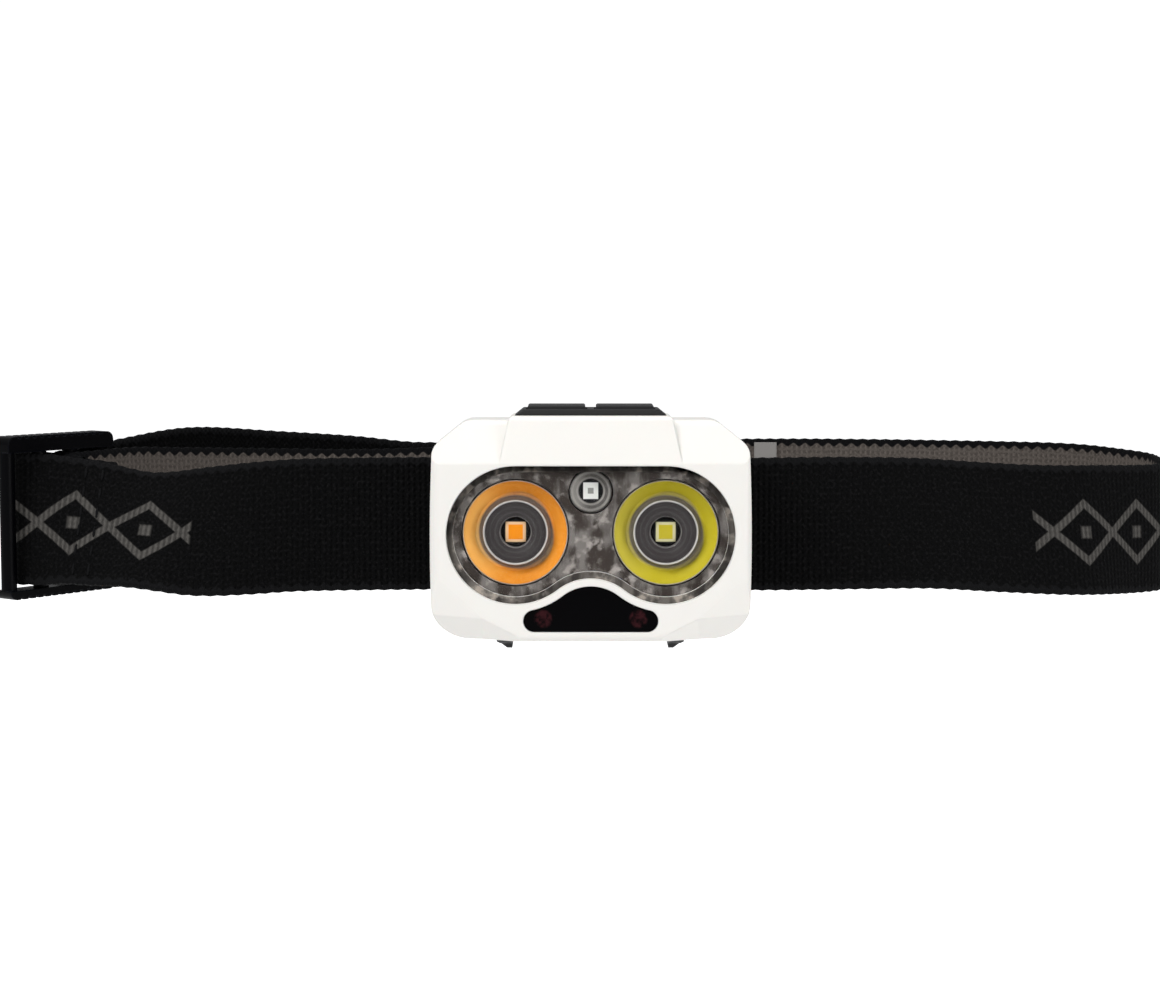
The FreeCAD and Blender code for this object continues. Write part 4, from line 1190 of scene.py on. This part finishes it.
@dataclass
class SewnLap:
    """Two rows of thread through the sewn lap, lying on both faces of the webbing."""

    book: FinishBook
    run: Run
    rows: tuple[float, ...] = (-101.75, -98.55)
    count: int = 6
    reach: float = 10.2
    depth: float = -0.09
    slant: float = -0.13
    layer: float = 1.65
    above: float = 0.85
    size: tuple[float, float, float] = (0.28, 0.17, 1.15)

    def build(self) -> bpy.types.Object:
        """Builds the thread and puts it on the adjuster.

        Returns:
            The piece.
        """
        points: list[Vector] = []
        faces: list[tuple[int, ...]] = []
        turn = self.run.index_near(-115.45, 4.2)
        for x in self.rows:
            depth = self.depth + self.slant * (x - self.rows[0])
            for i in (self.run.index_near(x, depth + self.layer), self.run.index_near(x, depth, turn)):
                for k in range(self.count):
                    place = -self.reach + 2 * self.reach * k / (self.count - 1)
                    self.stitch(i, place, points, faces)
        piece = mesh_piece("lap_stitching", points, faces, [self.book.material(FINISHES[Slot.THREAD])])
        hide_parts("stitching")
        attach(piece, "adjuster")
        return piece

    def stitch(self, i: int, place: float, points: list[Vector], faces: list[tuple[int, ...]]) -> None:
        """Adds one stitch: a short rounded bar of thread, thinner towards its ends.

        Args:
            i: Number of the run's point it crosses.
            place: Its middle across the webbing, in millimetres.
            points: Vertices so far.
            faces: Faces so far.
        """
        frame = self.run.frame(i)
        sides = 8
        first = len(points)
        for step in (-1.0, -0.75, 0.0, 0.75, 1.0):
            thick = math.sqrt(max(0.1, 1.0 - abs(step) ** 3))
            centre = (frame.centre + frame.tall * (place + step * self.size[2]) * MM
                      + frame.face * self.above * MM)
            for k in range(sides):
                turn = math.tau * k / sides
                points.append(centre + frame.way * math.cos(turn) * self.size[0] * thick * MM
                              + frame.face * math.sin(turn) * self.size[1] * thick * MM)
        for ring in range(4):
            for k in range(sides):
                a, b = first + ring * sides + k, first + ring * sides + (k + 1) % sides
                faces.append((a, a + sides, b + sides, b))
        faces.append(tuple(first + k for k in range(sides)))
        faces.append(tuple(first + 4 * sides + k for k in reversed(range(sides))))


@dataclass
class TurnedOptic:
    """A clear optic with its mirrored cone, lip and centre, turned about its own axis."""

    name: str
    node: str
    radius: float
    profile: tuple[tuple[float, float], ...]
    finish: OpticFinish
    book: FinishBook
    steps: int = 112

    def build(self) -> bpy.types.Object:
        """Builds the optic in its node's place, on the lamp.

        Returns:
            The piece.
        """
        low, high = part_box(self.node)
        x, z = self.finish.centre
        front, depth = low[1], high[1] - low[1]
        rings = [(radius * MM, front + min(back * MM, depth)) for radius, back in self.profile]
        points = []
        for i in range(self.steps):
            turn = math.tau * i / self.steps
            points += [Vector((x + r * math.cos(turn), y, z + r * math.sin(turn))) for r, y in rings]
        size = len(rings)
        faces = []
        for i in range(self.steps):
            j = (i + 1) % self.steps
            for k in range(size - 1):
                faces.append((i * size + k, i * size + k + 1, j * size + k + 1, j * size + k))
        faces.append(tuple(i * size for i in range(self.steps)))
        faces.append(tuple(i * size + size - 1 for i in reversed(range(self.steps))))
        piece = mesh_piece(self.name, points, faces, [self.book.material(self.finish)], sharp=35)
        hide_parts(self.node)
        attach(piece, "lamp")
        LOG.info("optic %s", self.name)
        return piece


@dataclass
class Optics:
    """The two wide optics and the small one above them."""

    book: FinishBook
    centre_x: float = 14.05
    centre_z: float = 0.75
    small_z: float = 8.45
    wide: tuple[tuple[float, float], ...] = (
        (0.3, 1.55), (1.5, 1.6), (2.4, 1.85), (2.75, 2.1), (2.85, 1.9), (2.95, 1.1), (3.1, 1.0), (5.2, 0.72),
        (5.75, 0.6), (5.88, 0.3), (6.02, 0.28), (6.14, 0.5), (6.3, 1.2), (6.7, 2.2), (7.4, 2.3), (8.6, 1.35),
        (9.45, 0.5), (9.62, 0.12), (9.8, 0.05), (9.95, 0.3), (9.9, 1.2), (9.0, 3.4), (7.4, 6.2), (5.2, 9.2),
        (3.8, 10.3), (0.3, 10.3))
    small: tuple[tuple[float, float], ...] = (
        (0.2, 2.0), (1.9, 2.0), (2.1, 1.9), (2.3, 1.7), (3.1, 0.9), (3.6, 0.3), (3.75, 0.08), (3.95, 0.05),
        (4.05, 0.25), (4.0, 1.0), (3.2, 2.6), (0.2, 2.6))

    def build(self) -> list[bpy.types.Object]:
        """Builds the three optics.

        Returns:
            Their pieces.
        """
        amber = self.wide_finish("spot_optic", -self.centre_x, (0.68, 0.20, 0.002), (0.88, 0.48, 0.13),
                                 (0.60, 0.155, 0.001), Chip((1.9, 1.9), (0.66, 0.42, 0.24), (1.35, 1.4),
                                                           (0.72, 0.22, 0.004)))
        olive = self.wide_finish("flood_optic", self.centre_x, (0.45, 0.37, 0.010), (0.50, 0.42, 0.06),
                                 (0.37, 0.30, 0.007), Chip((1.85, 1.85), (0.52, 0.48, 0.28), (1.3, 1.35),
                                                           (0.44, 0.36, 0.02)))
        rings = (Ring(0, (0.002, 0.002, 0.0025)), Ring(2.35 * MM, (0.30, 0.28, 0.26)),
                 Ring(2.7 * MM, (0.045, 0.04, 0.037)), Ring(3.25 * MM, (0.24, 0.225, 0.21)),
                 Ring(3.65 * MM, (0.016, 0.014, 0.012)))
        silver = OpticFinish("centre_optic", (0.0, self.small_z * MM), rings, (0.32, 0.30, 0.28),
                             (0.03, 0.027, 0.025), (2.35 * MM, 3.8 * MM), 0.0,
                             Chip((1.4, 1.55), (0.80, 0.80, 0.76), (0.55, 0.55), (0.28, 0.28, 0.26)))
        return [TurnedOptic("spot_optic", "spot_collimator", 10.0, self.wide, amber, self.book).build(),
                TurnedOptic("flood_optic", "flood_collimator", 10.0, self.wide, olive, self.book).build(),
                TurnedOptic("centre_optic", "centre_lens", 4.1, self.small, silver, self.book).build()]

    def wide_finish(self, name: str, x: float, ring: Colour, painted_highlight: Colour, painted_shade: Colour,
                    chip: Chip) -> OpticFinish:
        """Rings of a wide optic, with painted shading and a painted highlight on the outer ring.
            painted_highlight: Where the ring is brightest.
            painted_shade: Where it is darkest.
            chip: The emitter seen in the middle.

        Returns:
            The finish.
        """
        grey, dark = (0.125, 0.108, 0.096), (0.032, 0.027, 0.027)
        # The thin light rings at 5.75 mm and 9.62 mm are painted highlights on the optic's front lips.
        rings = (Ring(0, (0.006, 0.006, 0.006)), Ring(2.8 * MM, (0.16, 0.15, 0.145)), Ring(3.0 * MM, dark),
                 Ring(3.7 * MM, (0.062, 0.056, 0.056), 0.0005), Ring(3.9 * MM, dark, 0.0004),
                 Ring(4.7 * MM, (0.056, 0.051, 0.051), 0.0004), Ring(4.85 * MM, dark, 0.0004),
                 Ring(5.75 * MM, (0.46, 0.44, 0.42)), Ring(6.1 * MM, (0.07, 0.065, 0.06)),
                 Ring(6.3 * MM, grey, 0.0004), Ring(7.3 * MM, ring, 0.0005),
                 Ring(9.62 * MM, (0.22, 0.20, 0.18), 0.00015),
                 Ring(9.85 * MM, (0.06, 0.055, 0.05), 0.00015))
        return OpticFinish(name, (x * MM, self.centre_z * MM), rings, painted_highlight, painted_shade, (6.9 * MM, 9.65 * MM),
                           0.00035, chip)


@dataclass
class Moulding:
    """The lamp, its controls, its mount and the adjuster: pieces shown as made, each with its finish."""

    book: FinishBook
    nodes: dict[str, bpy.types.Object]

    def dress(self) -> None:
        """Gives every shown node its finish."""
        for slot, names in NODE_SLOTS.items():
            material = self.book.material(FINISHES[slot])
            for name in names:
                node = self.nodes[name]
                for place in node.material_slots:
                    place.material = material
                LOG.info("%s: %s", name, material.name)


@dataclass
class Studio:
    """Pale floor, soft lights and the camera."""

    floor_z: float = -0.12
    distance: float = 0.450
    elevation: float = 5.0
    aim: tuple[float, float, float] = (-0.0020, -0.034, 0.0075)
    focal: float = 75.4

    def build(self) -> None:
        """Sets up the whole studio."""
        bpy.context.scene.view_settings.view_transform = "Standard"
        self.surround()
        self.floor()
        self.light("key", (-0.60, -0.70, 0.70), (0.6, 0.6), 6.5)
        self.light("fill", (0.80, -0.50, 0.20), (0.5, 0.7), 3.0)
        self.light("top", (0.0, 0.05, 0.9), (0.9, 0.9), 5.0)
        self.camera()

    def surround(self) -> None:
        """White surround: plain white behind everything, softer as a light."""
        world = bpy.data.worlds.new("studio_white")
        bpy.context.scene.world = world
        world.use_nodes = True
        world.node_tree.nodes.clear()
        graph = Graph(world.node_tree)
        soft, plain = graph.add("Background"), graph.add("Background")
        graph.feed(soft, Color=(0.97, 0.98, 1.0, 1.0), Strength=0.38)
        graph.feed(plain, Color=(1.0, 1.0, 1.0, 1.0), Strength=1.05)
        mix, out = graph.add("MixShader"), graph.add("OutputWorld")
        graph.tree.links.new(graph.add("LightPath").outputs["Is Camera Ray"], mix.inputs[0])
        graph.tree.links.new(soft.outputs[0], mix.inputs[1])
        graph.tree.links.new(plain.outputs[0], mix.inputs[2])
        graph.tree.links.new(mix.outputs[0], out.inputs["Surface"])

    def floor(self) -> None:
        """Wide pale floor far enough below that no hard shadow falls behind the lamp."""
        reach = 6.0
        signs = ((-1, -1), (1, -1), (1, 1), (-1, 1))
        corners = [Vector((x * reach, y * reach, self.floor_z)) for x, y in signs]
        graph, shader, _ = start_material("pale_floor")
        colour = graph.mix(graph.noise(3.0, 2.0), (0.93, 0.93, 0.93), (0.96, 0.96, 0.96))
        seen = graph.math("MULTIPLY", graph.add("LightPath").outputs["Is Camera Ray"], 0.7)
        graph.feed(shader, Base_Color=colour, Roughness=0.9, Emission_Color=(1.0, 1.0, 1.0, 1.0),
                   Emission_Strength=seen)
        mesh_piece("floor", corners, [(0, 1, 2, 3)], [bpy.data.materials["pale_floor"]])

    def light(self, name: str, place: tuple[float, float, float], size: tuple[float, float],
              power: float) -> None:
        """Soft rectangular light aimed at the lamp.

        Args:
            name: The light's name.
            place: Where it stands.
            size: Its width and height.
            power: Its power in watts.
        """
        data = bpy.data.lights.new(name, "AREA")
        data.shape = "RECTANGLE"
        data.size, data.size_y = size
        data.energy = power
        lamp = bpy.data.objects.new(name, data)
        lamp.location = place
        lamp.rotation_euler = (Vector((0, 0.01, 0)) - Vector(place)).to_track_quat("-Z", "Y").to_euler()
        bpy.context.scene.collection.objects.link(lamp)

    def camera(self) -> None:
        """Camera just above the lamp's own height."""
        data = bpy.data.cameras.new("camera")
        data.lens = self.focal
        data.sensor_width = 36.0
        data.clip_start = 0.01
        camera = bpy.data.objects.new("camera", data)
        rise = math.radians(self.elevation)
        away = Vector((0, -math.cos(rise), math.sin(rise))) * self.distance
        camera.location = Vector(self.aim) + away
        camera.rotation_euler = (-away).to_track_quat("-Z", "Y").to_euler()
        bpy.context.scene.collection.objects.link(camera)
        bpy.context.scene.camera = camera


def main() -> None:
    """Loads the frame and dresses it."""
    logging.basicConfig(level=logging.INFO, format="%(name)s: %(message)s")
    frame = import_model()
    book = FinishBook()
    Moulding(book, frame["nodes"]).dress()
    Optics(book).build()
    Headband(book).build()
    Studio().build()


if __name__ == "__main__":
    main()
